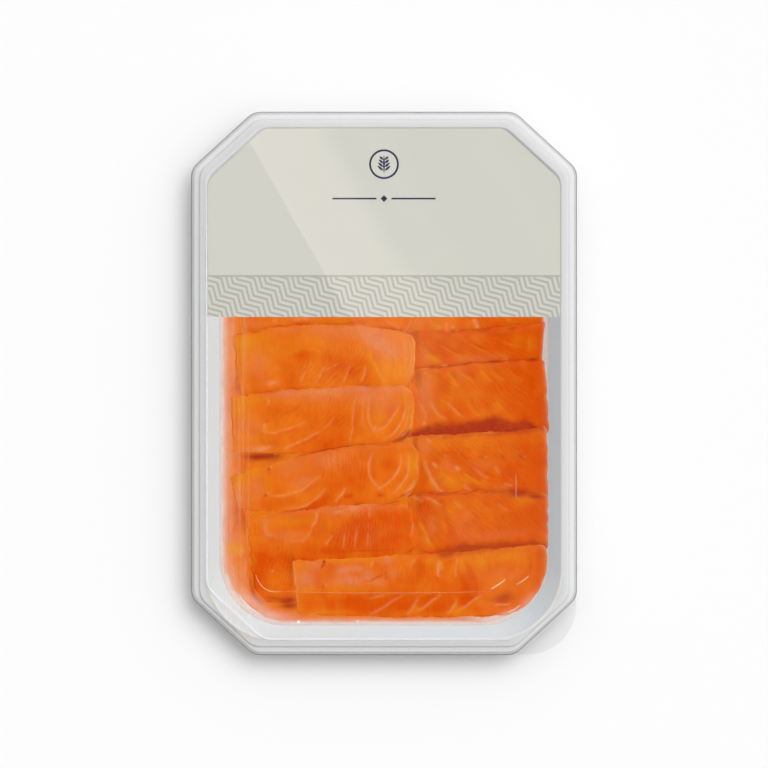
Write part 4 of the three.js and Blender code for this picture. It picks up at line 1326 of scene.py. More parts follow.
            (28.6, -69.6, 2.6, 4, 20, 0.35), (8, -69.6, 6, 2, 0, 0.17), (-20, -77, 9, 2.8, 0, 0.29),
            (-2, -77.6, 8, 2.8, 0, 0.42), (15.4, -75.2, 3.6, 1.4, 25, 0.42),
            (29.4, -75, 3.4, 1.4, 25, 0.42), (18, -79, 5, 1.8, 10, 0.28), (32, -79, 3, 1.8, 0, 0.28),
            (8, -76.6, 18, 3.4, 0, 0.55), (55.2, -66, 3.2, 8, 0, 0.26),
        ),
        "meat_and_shade": (
            (42.2, -75, 2.9, 1.9, 15, 0.62), (37.6, -75.4, 2.4, 1, 10, 0.25),
            (-20.8, -62.2, 0.55, 0.9, -10, 0.9), (-21.4, -63.8, 0.4, 0.7, -30, 0.7),
            (-21.4, -71.3, 0.5, 0.5, 0, 0.45), (0.9, -67.8, 0.8, 0.6, 0, 0.3), (54, -60, 0.7, 3.6, 0, 0.25),
            (51, -64, 0.6, 3, 0, 0.22), (55.8, -64, 1.8, 7, 0, 0.12),
        ),
        "border_sheen": ((44, -80.8, 7, 1.2, 18, 0.4), (50.8, -76, 1.6, 4, -40, 0.25)),
    },
    "bed": {
        "meat_and_shade": (
            (-40.4, -25.6, 6, 1.5, 0, 0.9), (-33.2, -78, 3, 1.3, 0, 0.9), (-46.5, -25.6, 4, 1, -6, 0.6),
        ),
        "border_sheen": (
            (-46, -77.4, 9, 2.2, -34, 0.36), (-38, -82, 9, 1.8, -6, 0.3), (-55.8, 12, 1.3, 6, 0, 0.4),
            (-53.6, -68, 2.2, 7, 10, 0.24),
        ),
        "deep": (
            (-38.5, -75.8, 5, 1.2, -10, 0.24), (-51.6, -1.8, 1.8, 2.8, 0, 0.6),
            (-47.6, -64, 1.6, 9, 8, 0.5), (-51.6, -47.5, 2.2, 7, 0, 0.4), (-50.4, -29, 2.6, 3, 0, 0.21),
        ),
        "tip": ((-53.3, -57.8, 1.6, 1.8, 0, 1.25), (-50.3, -58.6, 1.7, 1.6, 0, 1.1)),
        "rosy_and_highlight": ((-51, -54.5, 1.5, 1.5, 0, 0.34),),
    },
}

# Streaks of fibre by slice: the field, the middle and half widths of the patch in millimetres, the streaks'
# lean from +Y to +X in degrees, the distance from one to the next and the strength.
STREAKS = {
    "left_3": (("tip", -28, 21, 24, 3, 4, 1.4, 0.25),),
    "left_4": (
        ("fat", -9, 13.6, 14, 5, 22, 1.15, 0.2), ("fat", -18, 3.6, 13, 4.6, 38, 1.7, 0.14),
        ("tip", -44, 7, 9, 8, 6, 1.4, 0.3), ("deep", -20, 6, 14, 6, 30, 1.3, 0.3),
    ),
    "left_5": (
        ("fat", -6, -9, 6, 8, 2, 1.6, 0.14), ("fat", -22, -5, 12, 3.6, 14, 1.4, 0.14),
        ("tip", -48.5, -13, 6, 10, 0, 1.3, 0.35), ("deep", -24, -14, 14, 8, 40, 1.6, 0.25),
    ),
    "left_6": (
        ("fat", -13, -27.6, 11, 4.4, 0, 1.5, 0.2), ("fat", -49, -38, 5, 5, -8, 1.2, 0.2),
        ("deep", -14, -33, 16, 6, 8, 1.5, 0.3), ("tip", 9.6, -29, 2.6, 7, -8, 0.9, 0.3),
    ),
    "left_7": (
        ("fat", -5, -52.5, 12, 5, 3, 1.05, 0.18), ("fat", -12, -44.4, 11, 2.4, -8, 1.2, 0.18),
        ("deep", -8, -52, 17, 7, 2, 1.25, 0.35), ("deep", -36, -64, 8, 9, 12, 1.5, 0.25),
    ),
    "right_3": (("tip", 30, 20.5, 26, 3, -40, 1.5, 0.25),),
    "right_4": (
        ("tip", 14, 12, 4, 5, -20, 1.2, 0.3), ("tip", 34, 12, 18, 5, -60, 1.4, 0.25),
        ("deep", 34, 12, 18, 5, -56, 1.8, 0.25),
    ),
    "right_5": (
        ("tip", 33, -3, 19, 9, -42, 1.6, 0.25), ("deep", 33, -3, 19, 9, -40, 1.3, 0.25),
        ("fat", 13.4, -5, 3.6, 9, -10, 1.2, 0.14),
    ),
    "right_6": (
        ("tip", 33, -23, 20, 5, -48, 1.3, 0.3), ("deep", 33, -24, 20, 6, -52, 1.6, 0.35),
        ("tip", 33, -33, 18, 4.6, -46, 1.5, 0.25),
    ),
    "right_7": (
        ("tip", 34, -46, 20, 8, -42, 1.4, 0.25), ("deep", 34, -47, 20, 8, -46, 1.7, 0.28),
        ("fat", 15, -46, 4, 8, -22, 1.3, 0.14),
    ),
    "foot": (
        ("tip", 34, -62.6, 20, 4, 2, 1.3, 0.35), ("deep", 14, -66, 18, 5, 4, 1.5, 0.25),
        ("fat", -8, -66, 16, 5, 14, 1.5, 0.1), ("deep", -18, -77, 14, 4, 88, 1.1, 0.25),
    ),
    "bed": (
        ("fat", -54, -16, 3, 38, 0, 0.9, 0.3), ("deep", -50, -28, 4, 5, 0, 0.9, 0.5),
        ("fat", -51, -66, 4, 12, 6, 1.1, 0.2),
    ),
}

# Painted shade in the joints between slices: the middle and half widths in millimetres, turn and strength.
JOINT_MARKS = (
    (-45, 18.3, 2.2, 0.4, 3, 0.45), (-37, 20.1, 2, 0.4, 4, 0.4), (-29.5, 21, 1.6, 0.35, 0, 0.4),
    (8, 17.7, 3, 0.35, -12, 0.55), (-41, -2.9, 5, 0.4, 2, 0.4), (-20, -1.5, 9, 0.25, 1, 0.25),
    (-14, -22.9, 6, 0.25, 8, 0.2), (-1, -21.2, 5, 0.25, 4, 0.5), (7.6, -38.4, 3.2, 0.4, 28, 0.7),
    (-16, -43.6, 4, 0.3, 12, 0.3), (4.5, -41.8, 3, 0.3, -18, 0.4), (23.8, 18.2, 1.2, 0.5, 0, 0.55),
    (26.8, 18.1, 0.8, 0.35, 0, 0.45), (34.5, 18.4, 3, 0.5, 5, 0.35), (39, 17.4, 4, 0.5, -8, 0.25),
    (45, 19.4, 1.6, 0.5, 10, 0.4), (16.5, 5.6, 1.3, 0.4, 4, 0.9), (13, 5.3, 2.4, 0.25, 0, 0.4),
    (24, 6.1, 2.2, 0.5, 8, 0.4), (28.2, 6.9, 2.6, 0.45, 7, 0.95), (33, 7.3, 2.6, 0.25, 4, 0.5),
    (38.2, 7.8, 2.8, 0.45, 4, 0.95), (45.6, 7.7, 1.5, 0.6, 0, 0.5), (52, 8.2, 2, 0.5, 0, 0.9),
    (12, -39.1, 4.6, 0.28, 0, 0.7), (20, -38.8, 4, 0.28, 4, 0.75), (29, -38.2, 5, 0.25, 3, 0.65),
    (35.5, -37.9, 3.4, 0.3, 2, 0.55), (47, -38.4, 4.6, 1.5, -3, 0.9), (52.8, -39.3, 3.2, 1.3, -6, 0.9),
    (9.4, -58.4, 2.2, 0.4, 35, 0.45), (15, -59, 3.4, 0.35, -18, 0.5), (-6, -58.6, 9, 0.3, 2, 0.35),
)

# Brown meat by slice: -1 below or 1 above a line, the line's points in millimetres, and the strength.
MEAT_EDGES = {
    "right_5": ((-1, ((7.5, -17.6), (9, -17), (11.5, -15.8), (14, -14.6), (16, -13.8), (18, -13.4), (25, -13),
                      (31, -12.3), (35, -12.0), (37, -11.4), (38.7, -10.7), (40.5, -11.1), (42, -12.0),
                      (50, -12.2), (52, -12.9), (54, -14.7), (60, -18.7)), 0.86),),
    "right_6": ((1, ((8, -18.6), (20, -19.5), (28, -19), (38, -18.2), (50, -18), (56, -16.8)), 0.6),),
    "right_7": ((-1, ((14, -62), (17.5, -58.8), (19, -57.6), (22.4, -56.4), (24, -56.8), (26, -55.9),
                      (28, -55.4), (39, -54.9), (45, -54.5), (52, -54.5), (56, -55.8)), 0.7),),
    "foot": ((1, ((10, -56), (17, -59.6), (20, -61.4), (23, -61.0), (28, -60.0), (39, -58.5), (47, -57.4),
                  (56, -56.4)), 0.74),),
}


def lie(x, y):
    """The surface that the slices lie along: a slope down to the foot end with a slow ripple, sine along X
    times cosine along Y."""
    ripple = np.sin(2 * math.pi * x / (71 * MM) + 0.6) * np.cos(2 * math.pi * y / (83 * MM))
    return STACK_HEIGHT + SLOPE * y + 0.2 * MM * ripple


def draw_in(radius, distance):
    """How far a rounded end draws in at a distance from the edge beside it, along a quarter circle."""
    short = np.maximum(radius - distance, 0)
    return radius - np.sqrt(np.maximum(radius ** 2 - short ** 2, 0))


def dense_ends(size, step, edge):
    """Shares from 0 to 1 of a size: fine steps within edge of both ends, and even steps between."""
    fine = edge * np.array([0, 0.08, 0.2, 0.36, 0.56, 0.78])
    inner = np.linspace(edge, size - edge, max(int((size - 2 * edge) / step), 2) + 1)
    return np.concatenate([fine, inner, size - fine[::-1]]) / size


def line_strength(x, y, x0, y0, x1, y1, x2, y2, width):
    """How strongly a line of the table marks each point: the bell exp(-(d / width)^2) of the distance d to
    the parabola through its three points, faded towards its ends. The second value falls off slowly on both
    sides, exp(-d / LINE_SIDE), above 0 on the curve's right-hand side and below on its left."""
    share = np.linspace(0, 1, LINE_POINTS)[:, None]
    start, middle, end = np.array(((x0, y0), (x1, y1), (x2, y2))) * MM
    curve = through(start, middle, end, share)
    reach = 2.5 * LINE_SIDE
    low, high = curve.min(axis=0) - reach, curve.max(axis=0) + reach
    strength, side = np.zeros_like(x), np.zeros_like(x)
    near = (x > low[0]) & (x < high[0]) & (y > low[1]) & (y < high[1])
    if not near.any():
        return strength, side
    point = np.stack([x[near], y[near]], axis=1)[:, None]
    first, step = curve[:-1][None], np.diff(curve, axis=0)[None]
    part = np.clip(((point - first) * step).sum(axis=2) / (step ** 2).sum(axis=2), 0, 1)
    away = point - first - part[..., None] * step
    gap = np.linalg.norm(away, axis=2)
    nearest = gap.argmin(axis=1)
    pick = np.arange(len(nearest))
    gap, away, step = gap[pick, nearest], away[pick, nearest], step[0, nearest]
    along = (nearest + part[pick, nearest]) / (len(curve) - 1)
    fade = np.clip(4 * along * (1 - along), 0, 1) ** 0.4
    strength[near] = np.exp(-((gap / (width * MM)) ** 2)) * fade
    right = np.sign(step[:, 1] * away[:, 0] - step[:, 0] * away[:, 1])
    side[near] = right * np.exp(-gap / LINE_SIDE) * smooth(0, 0.25, along) * smooth(1, 0.75, along)
    return strength, side


def zone_strength(x, y, cx, cy, rx, ry, turn):
    """A soft ellipse as the tables give it: the bell exp(-r^2), where r is 1 on the ellipse."""
    dx, dy = x - cx * MM, y - cy * MM
    cosine, sine = math.cos(math.radians(turn)), math.sin(math.radians(turn))
    u, v = (dx * cosine + dy * sine) / (rx * MM), (dy * cosine - dx * sine) / (ry * MM)
    return np.exp(-(u * u + v * v))


def streak_strength(x, y, cx, cy, rx, ry, lean, gap, seed):
    """A patch of fine streaks as the table gives it: the fourth power of a cosine across them, its phase
    and strength wandering with a slow noise, inside the patch exp(-r^4)."""
    dx, dy = x - cx * MM, y - cy * MM
    inside = np.exp(-(((dx / (rx * MM)) ** 2 + (dy / (ry * MM)) ** 2) ** 2))
    across = dx * math.cos(math.radians(lean)) - dy * math.sin(math.radians(lean))
    wander = 1.6 * value_noise(x, y, 5 * MM, seed) + 0.5 * value_noise(x, y, 1.6 * MM, seed + 1)
    wave = (0.5 + 0.5 * np.cos(2 * math.pi * (across / (gap * MM) + wander))) ** 2
    return inside * wave * value_noise(x, y, 2.6 * MM, seed + 2)


DRIFT = 0.7 * MM  # how far the marks are laid out of true, and how ragged the brown meat is
TONE_SPREAD = 0.34  # how far the tone of one piece varies
FAT_WIDTH = 1.25  # how much wider a fat line is drawn than the table says
FAT_STRENGTH = 0.84  # and how much fainter
# Beside fat and dried lines: painted shade on the right-hand side and painted light on the left.
DEEP_SIDE = 0.8  # how much deeper the flesh is on the right-hand side of a line
PALE_SIDE = 0.3  # and how much more dried on its left


def flesh_fields(name, x, y, tone, seed):
    """The fields of one piece of salmon: its own tone, plus its zones, streaks, lines, brown muscle and the
    painted shade of its joint marks, all laid a little out of true by a slow noise."""
    warp_x = x + DRIFT * (value_noise(x, y, 4 * MM, seed) - 0.5)
    warp_y = y + DRIFT * (value_noise(x, y, 3.5 * MM, seed + 1) - 0.5)
    fields = {field: np.zeros_like(x) for field in ("deep", "rosy_and_highlight", "tip", "fat", "meat_and_shade", "border_sheen")}
    fields["deep"] += tone + TONE_SPREAD * (value_noise(x, y, 8 * MM, seed + 2) - 0.5)
    for field, zones in ZONES.get(name, {}).items():
        for *place, strength in zones:
            fields[field] += strength * zone_strength(warp_x, warp_y, *place)
    for k, (field, *place, strength) in enumerate(STREAKS.get(name, ())):
        fields[field] += strength * streak_strength(warp_x, warp_y, *place, seed + 20 + k)
    patchy = 0.55 + 0.9 * value_noise(x, y, 1.3 * MM, seed + 9)
    for field, lines in LINES.get(name, {}).items():
        for *place, width, strength in lines:
            if field == "fat":
                width, strength = FAT_WIDTH * width, FAT_STRENGTH * strength
            core, side = line_strength(warp_x, warp_y, *place, width)
            if field in ("fat", "meat_and_shade"):
                fields[field] = np.maximum(fields[field], strength * core * patchy)
            else:
                fields[field] += strength * core
            # Painted shade and light on the two sides of fat and dried lines.
            if field in ("fat", "tip"):
                fields["deep"] += DEEP_SIDE * strength * side
                fields["tip"] += PALE_SIDE * strength * np.maximum(-side, 0)
    for way, line, strength in MEAT_EDGES.get(name, ()):
        edge_x, edge_y = np.array(line).T * MM
        ragged = DRIFT * (value_noise(x, y, 1.4 * MM, seed + 11) - 0.5)
        depth = way * (warp_y + ragged - np.interp(x, edge_x, edge_y))
        grainy = 0.8 + 0.4 * value_noise(x, 4 * y, 1.3 * MM, seed + 13)
        meat_and_shade = strength * grainy * smooth(-0.6 * MM, 2.2 * MM, depth)
        fields["meat_and_shade"] = np.maximum(fields["meat_and_shade"], meat_and_shade)
    # Painted shade in the joints.
    for *place, strength in JOINT_MARKS:
        mark = strength * zone_strength(x, warp_y, *place)
        fields["meat_and_shade"] = np.maximum(fields["meat_and_shade"], mark)
    return {field: np.clip(values, 0, 1) for field, values in fields.items()}


def joint_shade_line(x, from_upper, seed):
    """The thin line of painted shade along a slice's upper edge, where it lies on the slice above: a bell of
    the distance from that edge, its strength wandering along the edge."""
    strength = 0.1 + 0.5 * smooth(*WANDER, value_noise(x, 0 * x, 3.5 * MM, seed + 12))
    return strength * np.exp(-((from_upper / JOINT_HALF) ** 2))


def joint_shade(fields, x, y, cover, dark, seed):
    """Deepens a slice above the upper edge of the slice that covers it, as its painted shadow: brown right at
    the edge, and redder as exp(-distance / SHADE_REACH) away from it, its strength wandering along the edge."""
    share = (x / MM - cover[0]) / (cover[1] - cover[0])
    above = y - through(*(np.array(cover[2]) * MM), np.clip(share, 0, 1))
    within = smooth(-0.03, 0.01, share) * smooth(1.03, 0.99, share) * smooth(-1.5 * MM, -0.5 * MM, above)
    wander = value_noise(x, 0 * x, 4 * MM, seed + 15)
    near = np.maximum(above, 0)
    deeper = dark * (0.15 + 0.5 * wander) * within * np.exp(-near / SHADE_REACH)
    fields["deep"] = np.clip(fields["deep"] + deeper, 0, 1)
    brown = dark * 0.55 * smooth(*WANDER, wander) * within * np.exp(-((near / SHADE_LINE) ** 2))
    fields["meat_and_shade"] = np.maximum(fields["meat_and_shade"], brown)


BED_RADIUS = 23.4 * MM  # of the bed's corners, as its bloom follows them


def painted_border_sheen(x, y):
    """How much painted sheen pales the bed along its border by the wall: it falls off as
    exp(-distance / reach), with a longer reach at the left, and stays full in a band at the right."""
    out_x, out_y = np.abs(x) - (BED_HIGH.x - BED_RADIUS), np.abs(y) - (BED_HIGH.y - BED_RADIUS)
    within = np.minimum(np.maximum(out_x, out_y), 0)
    from_edge = BED_RADIUS - np.hypot(np.maximum(out_x, 0), np.maximum(out_y, 0)) - within
    reach = (0.8 + 0.8 * smooth(20 * MM, -40 * MM, x) * smooth(-82 * MM, -60 * MM, y)) * MM
    uneven = 0.64 + 0.3 * value_noise(x, y, 3 * MM, 3)
    right_band = smooth(3.0 * MM, 1.8 * MM, from_edge) * smooth(20 * MM, 40 * MM, x)
    right_band *= 0.8 + 0.2 * smooth(-20 * MM, 0, y)
    return np.maximum(np.exp(-from_edge / reach) * uneven, right_band)


# A slice's grid seen from above: its places, the share of the way from the left to the right end, how far
# each point is from the upper edge and from the nearer end, and how far inside the rounded border, 0 to 1.
Grid = namedtuple("Grid", "x y share from_upper from_end inside")


def slice_grid(salmon, line, radii, seed):
    """The grid of a slice. Rows run from its lower edge to its upper edge, both parabolas, and columns from
    end to end, drawn in at the corners, and a noise makes edges and ends uneven."""
    left_end, right_end = line[0] * MM, line[1] * MM
    upper, lower = (np.array(edge) * MM for edge in line[2:4])
    lean_left, lean_right = (lean * MM for lean in line[4])
    top_left, top_right, foot_left, foot_right = (radius * MM for radius in radii)
    depth = upper[1] - lower[1]
    v = dense_ends(depth, GRID_STEP, salmon.round)[:, None]
    s = dense_ends(right_end - left_end, GRID_STEP, salmon.round)[None]
    from_top = (1 - v) * depth
    left = left_end + draw_in(top_left, from_top) + draw_in(foot_left, v * depth) + lean_left * (1 - v)
    right = right_end - draw_in(top_right, from_top) - draw_in(foot_right, v * depth) + lean_right * (1 - v)
    left = left + END_WOBBLE[0] * (value_noise(0 * v, v * depth, END_CELL, seed + 31) - 0.5)
    right = right + END_WOBBLE[1] * (value_noise(0 * v, v * depth, END_CELL, seed + 32) - 0.5)
    x = left + (right - left) * s
    share = np.clip((x - left_end) / (right_end - left_end), 0, 1.05)
    low_line, high_line = through(*lower, share), through(*upper, share)
    wobble = sum(size * (value_noise(x, 0 * x, cell, seed) - 0.5) for size, cell in EDGE_WOBBLE)
    y = low_line + (high_line - low_line) * v + wobble * (2 * v - 1)
    from_upper, from_end = high_line - y, np.minimum(x - left, right - x)
    inside = np.clip(np.minimum(np.minimum(y - low_line, from_upper), from_end) / salmon.round, 0, 1)
    return Grid(x, y, share, from_upper, from_end, inside)


def slice_shape(salmon, line, grid, layer, seam, seed):
    """A slice as a closed sheet. Its faces part from a blunt border as a quarter circle, the thickness
    falls towards the seam, and a noise dimples the upper face."""
    x, y = grid.x, grid.y
    swell = np.sqrt(1 - (1 - grid.inside) ** 2)
    thickness = np.full_like(x, salmon.slice)
    if seam:
        from_seam = line[1] * MM - x if seam == "right" else x - line[0] * MM
        grown = np.clip((from_seam - SEAM_START) / SEAM_TAPER, 0, 1)
        thickness = SEAM_THICKNESS + (salmon.slice - SEAM_THICKNESS) * grown
    (broad, broad_cell), (fine, fine_cell) = DIMPLES
    dimple = broad * value_noise(x, y, broad_cell, seed) + fine * value_noise(x, y, fine_cell, seed + 5)
    base = lie(x, y) + layer * (salmon.slice + salmon.gap)
    if seam == "left":
        tucked = smooth(5 * MM, 2 * MM, x - line[0] * MM) * smooth(9 * MM, 4 * MM, grid.from_upper)
        base = base - TUCK * tucked
    blunt = SHEET_MIDDLE + BORDER_BLUNT
    top = base + thickness * (blunt + (1 - blunt - dimple) * swell)
    foot = base + thickness * SHEET_MIDDLE * (1 - swell)
    return grid_shell(np.stack([x, y, top], axis=2), np.stack([x, y, foot], axis=2))


def slice_fields(name, column, grid, tones, cover, seed):
    """The fields of a slice's upper face: those of its flesh, a painted highlight as a pink rim below its
    upper edge, a painted pale line inside its ends, painted sheen where it meets the wall at the right,
    painted shade in the joints, and how wet the face is."""
    x, y = grid.x, grid.y
    fields = flesh_fields(name, x, y, tones[0] + (tones[1] - tones[0]) * grid.share, seed)
    dark, rosy_and_highlight = JOINTS.get(name, ANY_JOINT)
    # The pink rim is a painted highlight where the upper edge would catch the light.
    rim = rosy_and_highlight * (0.3 + 0.7 * value_noise(x, y, 4 * MM, seed + 17)) * smooth(-48 * MM, -32 * MM, x)
    below = (grid.from_upper - RIM_DEPTH) / RIM_HALF
    fields["rosy_and_highlight"] = np.clip(fields["rosy_and_highlight"] + rim * np.exp(-below ** 2), 0, 1)
    # Painted light: a pale line inside the ends, against the shade of their blunt border.
    if name != "left_7":
        pale = 0.24 * np.exp(-(((grid.from_end - END_DEPTH) / END_HALF) ** 2))
        fields["fat"] = np.maximum(fields["fat"], pale * value_noise(x, y, 3 * MM, seed + 18))
    # Painted sheen where the right ends of the slices meet the wall.
    if column != "left":
        wall_sheen = 0.45 * np.exp(-grid.from_end / (0.22 * MM)) * smooth(0.5, 0.6, grid.share)
        fields["border_sheen"] = np.maximum(fields["border_sheen"], wall_sheen)
    # Painted shade along the upper edge, where this slice lies on the one above.
    fields["meat_and_shade"] = np.maximum(fields["meat_and_shade"], dark * joint_shade_line(x, grid.from_upper, seed))
    # Painted shadow of the slice that covers this one.
    if cover:
        cover_name, cover_row = cover
        joint_shade(fields, x, y, cover_row, JOINTS.get(cover_name, ANY_JOINT)[0], seed)
    fields["wet"] = smooth(0.6, 1.0, grid.inside)
    return fields


UNDERSIDE = {"deep": 1.0, "meat_and_shade": 0.25}  # the fields of a slice's underside, where not 0


class SALMON_OT_slices(bpy.types.Operator):
    """Lays the two columns of slices and the long slice across the foot end"""

    bl_idname = "salmon.slices"
    bl_label = "Slices"

    def execute(self, context):
        salmon = context.scene.salmon_flesh
        belly = salmon_flesh("smoked_salmon_belly", salmon, math.radians(4))
        loin = salmon_flesh("smoked_salmon_loin", salmon, math.radians(48))
        for name, column, line, layer, seam, cover in slice_specs():
            seed = int(10 * (layer + 3))
            grid = slice_grid(salmon, line, RADII.get(name, RADII[column]), seed)
            shape = slice_shape(salmon, line, grid, layer, seam, seed)
            fields = slice_fields(name, column, grid, line[5], cover, seed)
            doubled = {field: np.concatenate([v.ravel(), np.full(v.size, UNDERSIDE.get(field, 0.0))])
                       for field, v in fields.items()}
            material = loin if column == "right" else belly
            add_piece(f"salmon_{name}", shape, material, [f"slice_{name}"], doubled,
                      translucent=True)
        return {"FINISHED"}


# The bed's rings from the middle out, in millimetres: inset, height from its top, cut inset and radius.
BED_TOP = (
    (30, 0, 31, 10),
    (22, 0, 23, 14),
    (17, 0, 18.2, 18),
    (14, 0, 15.2, 20.6),
    (12.6, 0, 14, 21.6),
    (11, -0.05, 12.4, 22.8),
    (10, -0.2, 11.2, 23.4),
    (9.6, -0.5, 10.8, 23.6),
    (10.2, -1.1, 11.4, 23.4),
    (11, -1.6, 12.2, 23),
)
BED_FOOT = (12.2, 13.6, 22)  # the lowest ring, on the floor: inset, cut inset and radius
BED_END_GAP = 0.3  # how much further inside the bed stays at the ends
BED_SPREAD = 5  # how many parts each step between two rings is cut into


def bed_ring(tray, inset, height, cut, radius):
    insets = (inset, inset + BED_END_GAP)
    return pack_ring(tray, insets, cut, "round", radius, height, BED_SIDE_STEPS)


def spread(rings, parts_each):
    """Rings with each step between two of them cut into that many straight parts."""
    share = np.linspace(0, 1, parts_each + 1)[:-1]
    parts = [a + (b - a) * t for a, b in zip(rings[:-1], rings[1:]) for t in share]
    return np.array([*parts, rings[-1]])


class SALMON_OT_bed(bpy.types.Operator):
    """Spreads the bed of salmon over the tray's floor, with painted sheen along its border by the wall"""

    bl_idname = "salmon.bed"
    bl_label = "Bed"

    def execute(self, context):
        tray, salmon = context.scene.salmon_tray, context.scene.salmon_flesh
        top = [bed_ring(tray, inset, BED_HIGH.z + height * MM, cut, radius)
               for inset, height, cut, radius in BED_TOP]
        foot = bed_ring(tray, BED_FOOT[0], BED_LOW.z, *BED_FOOT[1:])
        rings = np.concatenate([spread(rounded_off(np.array(top), 1), BED_SPREAD), [foot]])
        shape = lofted(rings)
        x, y = shape[0][:, 0], shape[0][:, 1]
        fields = flesh_fields("bed", x, y, 0.22, 7)
        # Painted sheen along the bed's border, less where the flesh is yellow.
        fields["border_sheen"] = np.maximum(fields["border_sheen"], painted_border_sheen(x, y) * (1 - 0.9 * fields["tip"]))
        fields["wet"] = np.ones_like(x)
        # The bed's flesh is dimmed as painted shade, as no slice casts a shadow on it.
        flesh = salmon_flesh("smoked_salmon_bed", salmon, 0.0, brightness=0.94)
        add_piece("salmon_bed_flesh", shape, flesh, ["salmon_bed"], fields, translucent=True)
        return {"FINISHED"}


# ---- Studio -----------------------------------------------------------------------------------

TABLE_HALF = 4.0
TABLE_DROP = 0.02 * MM  # the table's surface lies that far below the pack
KEY_PLACE = (0.52, 0.66, 1.4)
SENSOR = 36
EYE_Y = -0.2 * MM
CLIP_END = 50
# How bright the room is, by the sine of the height above its horizon.
ROOM = ((0.0, 0.45), (0.25, 0.6), (0.5, 1.0), (0.955, 1.1), (0.985, 0.03))
KEY_SIDE, KEY_GAIN = (0.7, 0.7, 0.0), 0.7  # the key light's side, and how much brighter the room is there
GLOSS_CARD_HEIGHT = 2.0
# The card as it shows in the film: points of its edge in millimetres from the label end to the foot end,
# and at each point its brightness, its warmth and how far it stays bright, in millimetres.
GLOSS_EDGE = (
    (-54, 97, 1.25, 0, 19), (-46.8, 84.4, 1.25, 0, 19), (-20.2, 37.5, 1.2, 0, 19),
    (-12.8, 24.4, 1.1, 0.2, 22), (-6.6, 14.6, 0.92, 0.5, 24), (-0.6, -0.6, 0.66, 0.6, 27),
    (6.2, -11.4, 0.4, 0.8, 30),
    (11, -18, 0.32, 0.8, 32), (17, -40, 0.32, 0.8, 32), (24.4, -60.6, 0.4, 0.8, 32),
    (30.2, -73, 0.5, 0.8, 32), (37, -86, 0.6, 0.5, 32), (41, -94, 0.6, 0, 32),
)
GLOSS_WIDTH = 120  # of the card, in millimetres
GLOSS_COLUMNS = 121
GLOSS_SLANT = 0.5  # how far the card runs towards the label end for each step to the right
GLOSS_BANDS = (3.4, 0.6)  # how many bands cross it, evenly and with the square of the way across
GLOW_COOL, GLOW_WARM = (1.0, 0.85, 0.78, 1.0), (1.0, 0.85, 0.25, 1.0)


def gloss_card(camera_height, film_height):
    """A glowing card above the camera, bright at one edge, banded towards the other, and warmer towards the
    foot end. The camera looks down on the flat film and sees the card mirrored in it, so the card's points
    are those where it shows in the film times (camera + card) / camera, both heights above the film."""
    above_camera = camera_height - film_height
    above_card = GLOSS_CARD_HEIGHT - film_height
    ratio = (above_camera + above_card) / above_camera
    x, y, bright, warm, reach = np.array(GLOSS_EDGE).T
    share = np.linspace(0, 1, GLOSS_COLUMNS)[:, None]
    flat = np.stack([x + GLOSS_WIDTH * share, y + GLOSS_SLANT * GLOSS_WIDTH * share], axis=2) * MM * ratio
    points = np.concatenate([flat, np.full((*flat.shape[:2], 1), GLOSS_CARD_HEIGHT)], axis=2)
    down, along = flat.shape[:2]
    number = np.arange(down * along).reshape(down, along)
    quads = np.stack([number[:-1, :-1], number[1:, :-1], number[1:, 1:], number[:-1, 1:]], axis=2)
    mesh = bpy.data.meshes.new("gloss_card")
    mesh.from_pydata(points.reshape(-1, 3).tolist(), [], quads.reshape(-1, 4).tolist())
    across = GLOSS_WIDTH * share
    turns = GLOSS_BANDS[0] * share + GLOSS_BANDS[1] * share ** 2
    bands = (0.5 + 0.5 * np.cos(2 * math.pi * turns)) ** 2
    fade = 0.85 * smooth(1.4 * reach, 0.9 * reach, across) + 0.15 * np.exp(-across / 2.5)
    fade = fade + 0.3 * bands * smooth(0.8 * reach, 1.5 * reach, across) * (1 - share)
    for name, values in (("glow", bright * fade), ("warm", warm + 0 * fade)):
        mesh.attributes.new(name, "FLOAT", "POINT").data.foreach_set("value", values.ravel())
    material, tree = new_material("glowing_card")
    glow = add(tree, "Attribute", attribute_name="glow").outputs["Fac"]
    warmth = add(tree, "Attribute", attribute_name="warm").outputs["Fac"]
    colour = add(tree, "Mix", {0: warmth, 6: GLOW_COOL, 7: GLOW_WARM}, data_type="RGBA")
    light = add(tree, "Emission", {"Color": colour.outputs[2], "Strength": glow})
    add(tree, "OutputMaterial", {"Surface": light.outputs[0]})
    mesh.materials.append(material)
    card = bpy.data.objects.new("gloss_card", mesh)
    card.visible_camera = card.visible_diffuse = card.visible_shadow = False
    bpy.context.scene.collection.objects.link(card)


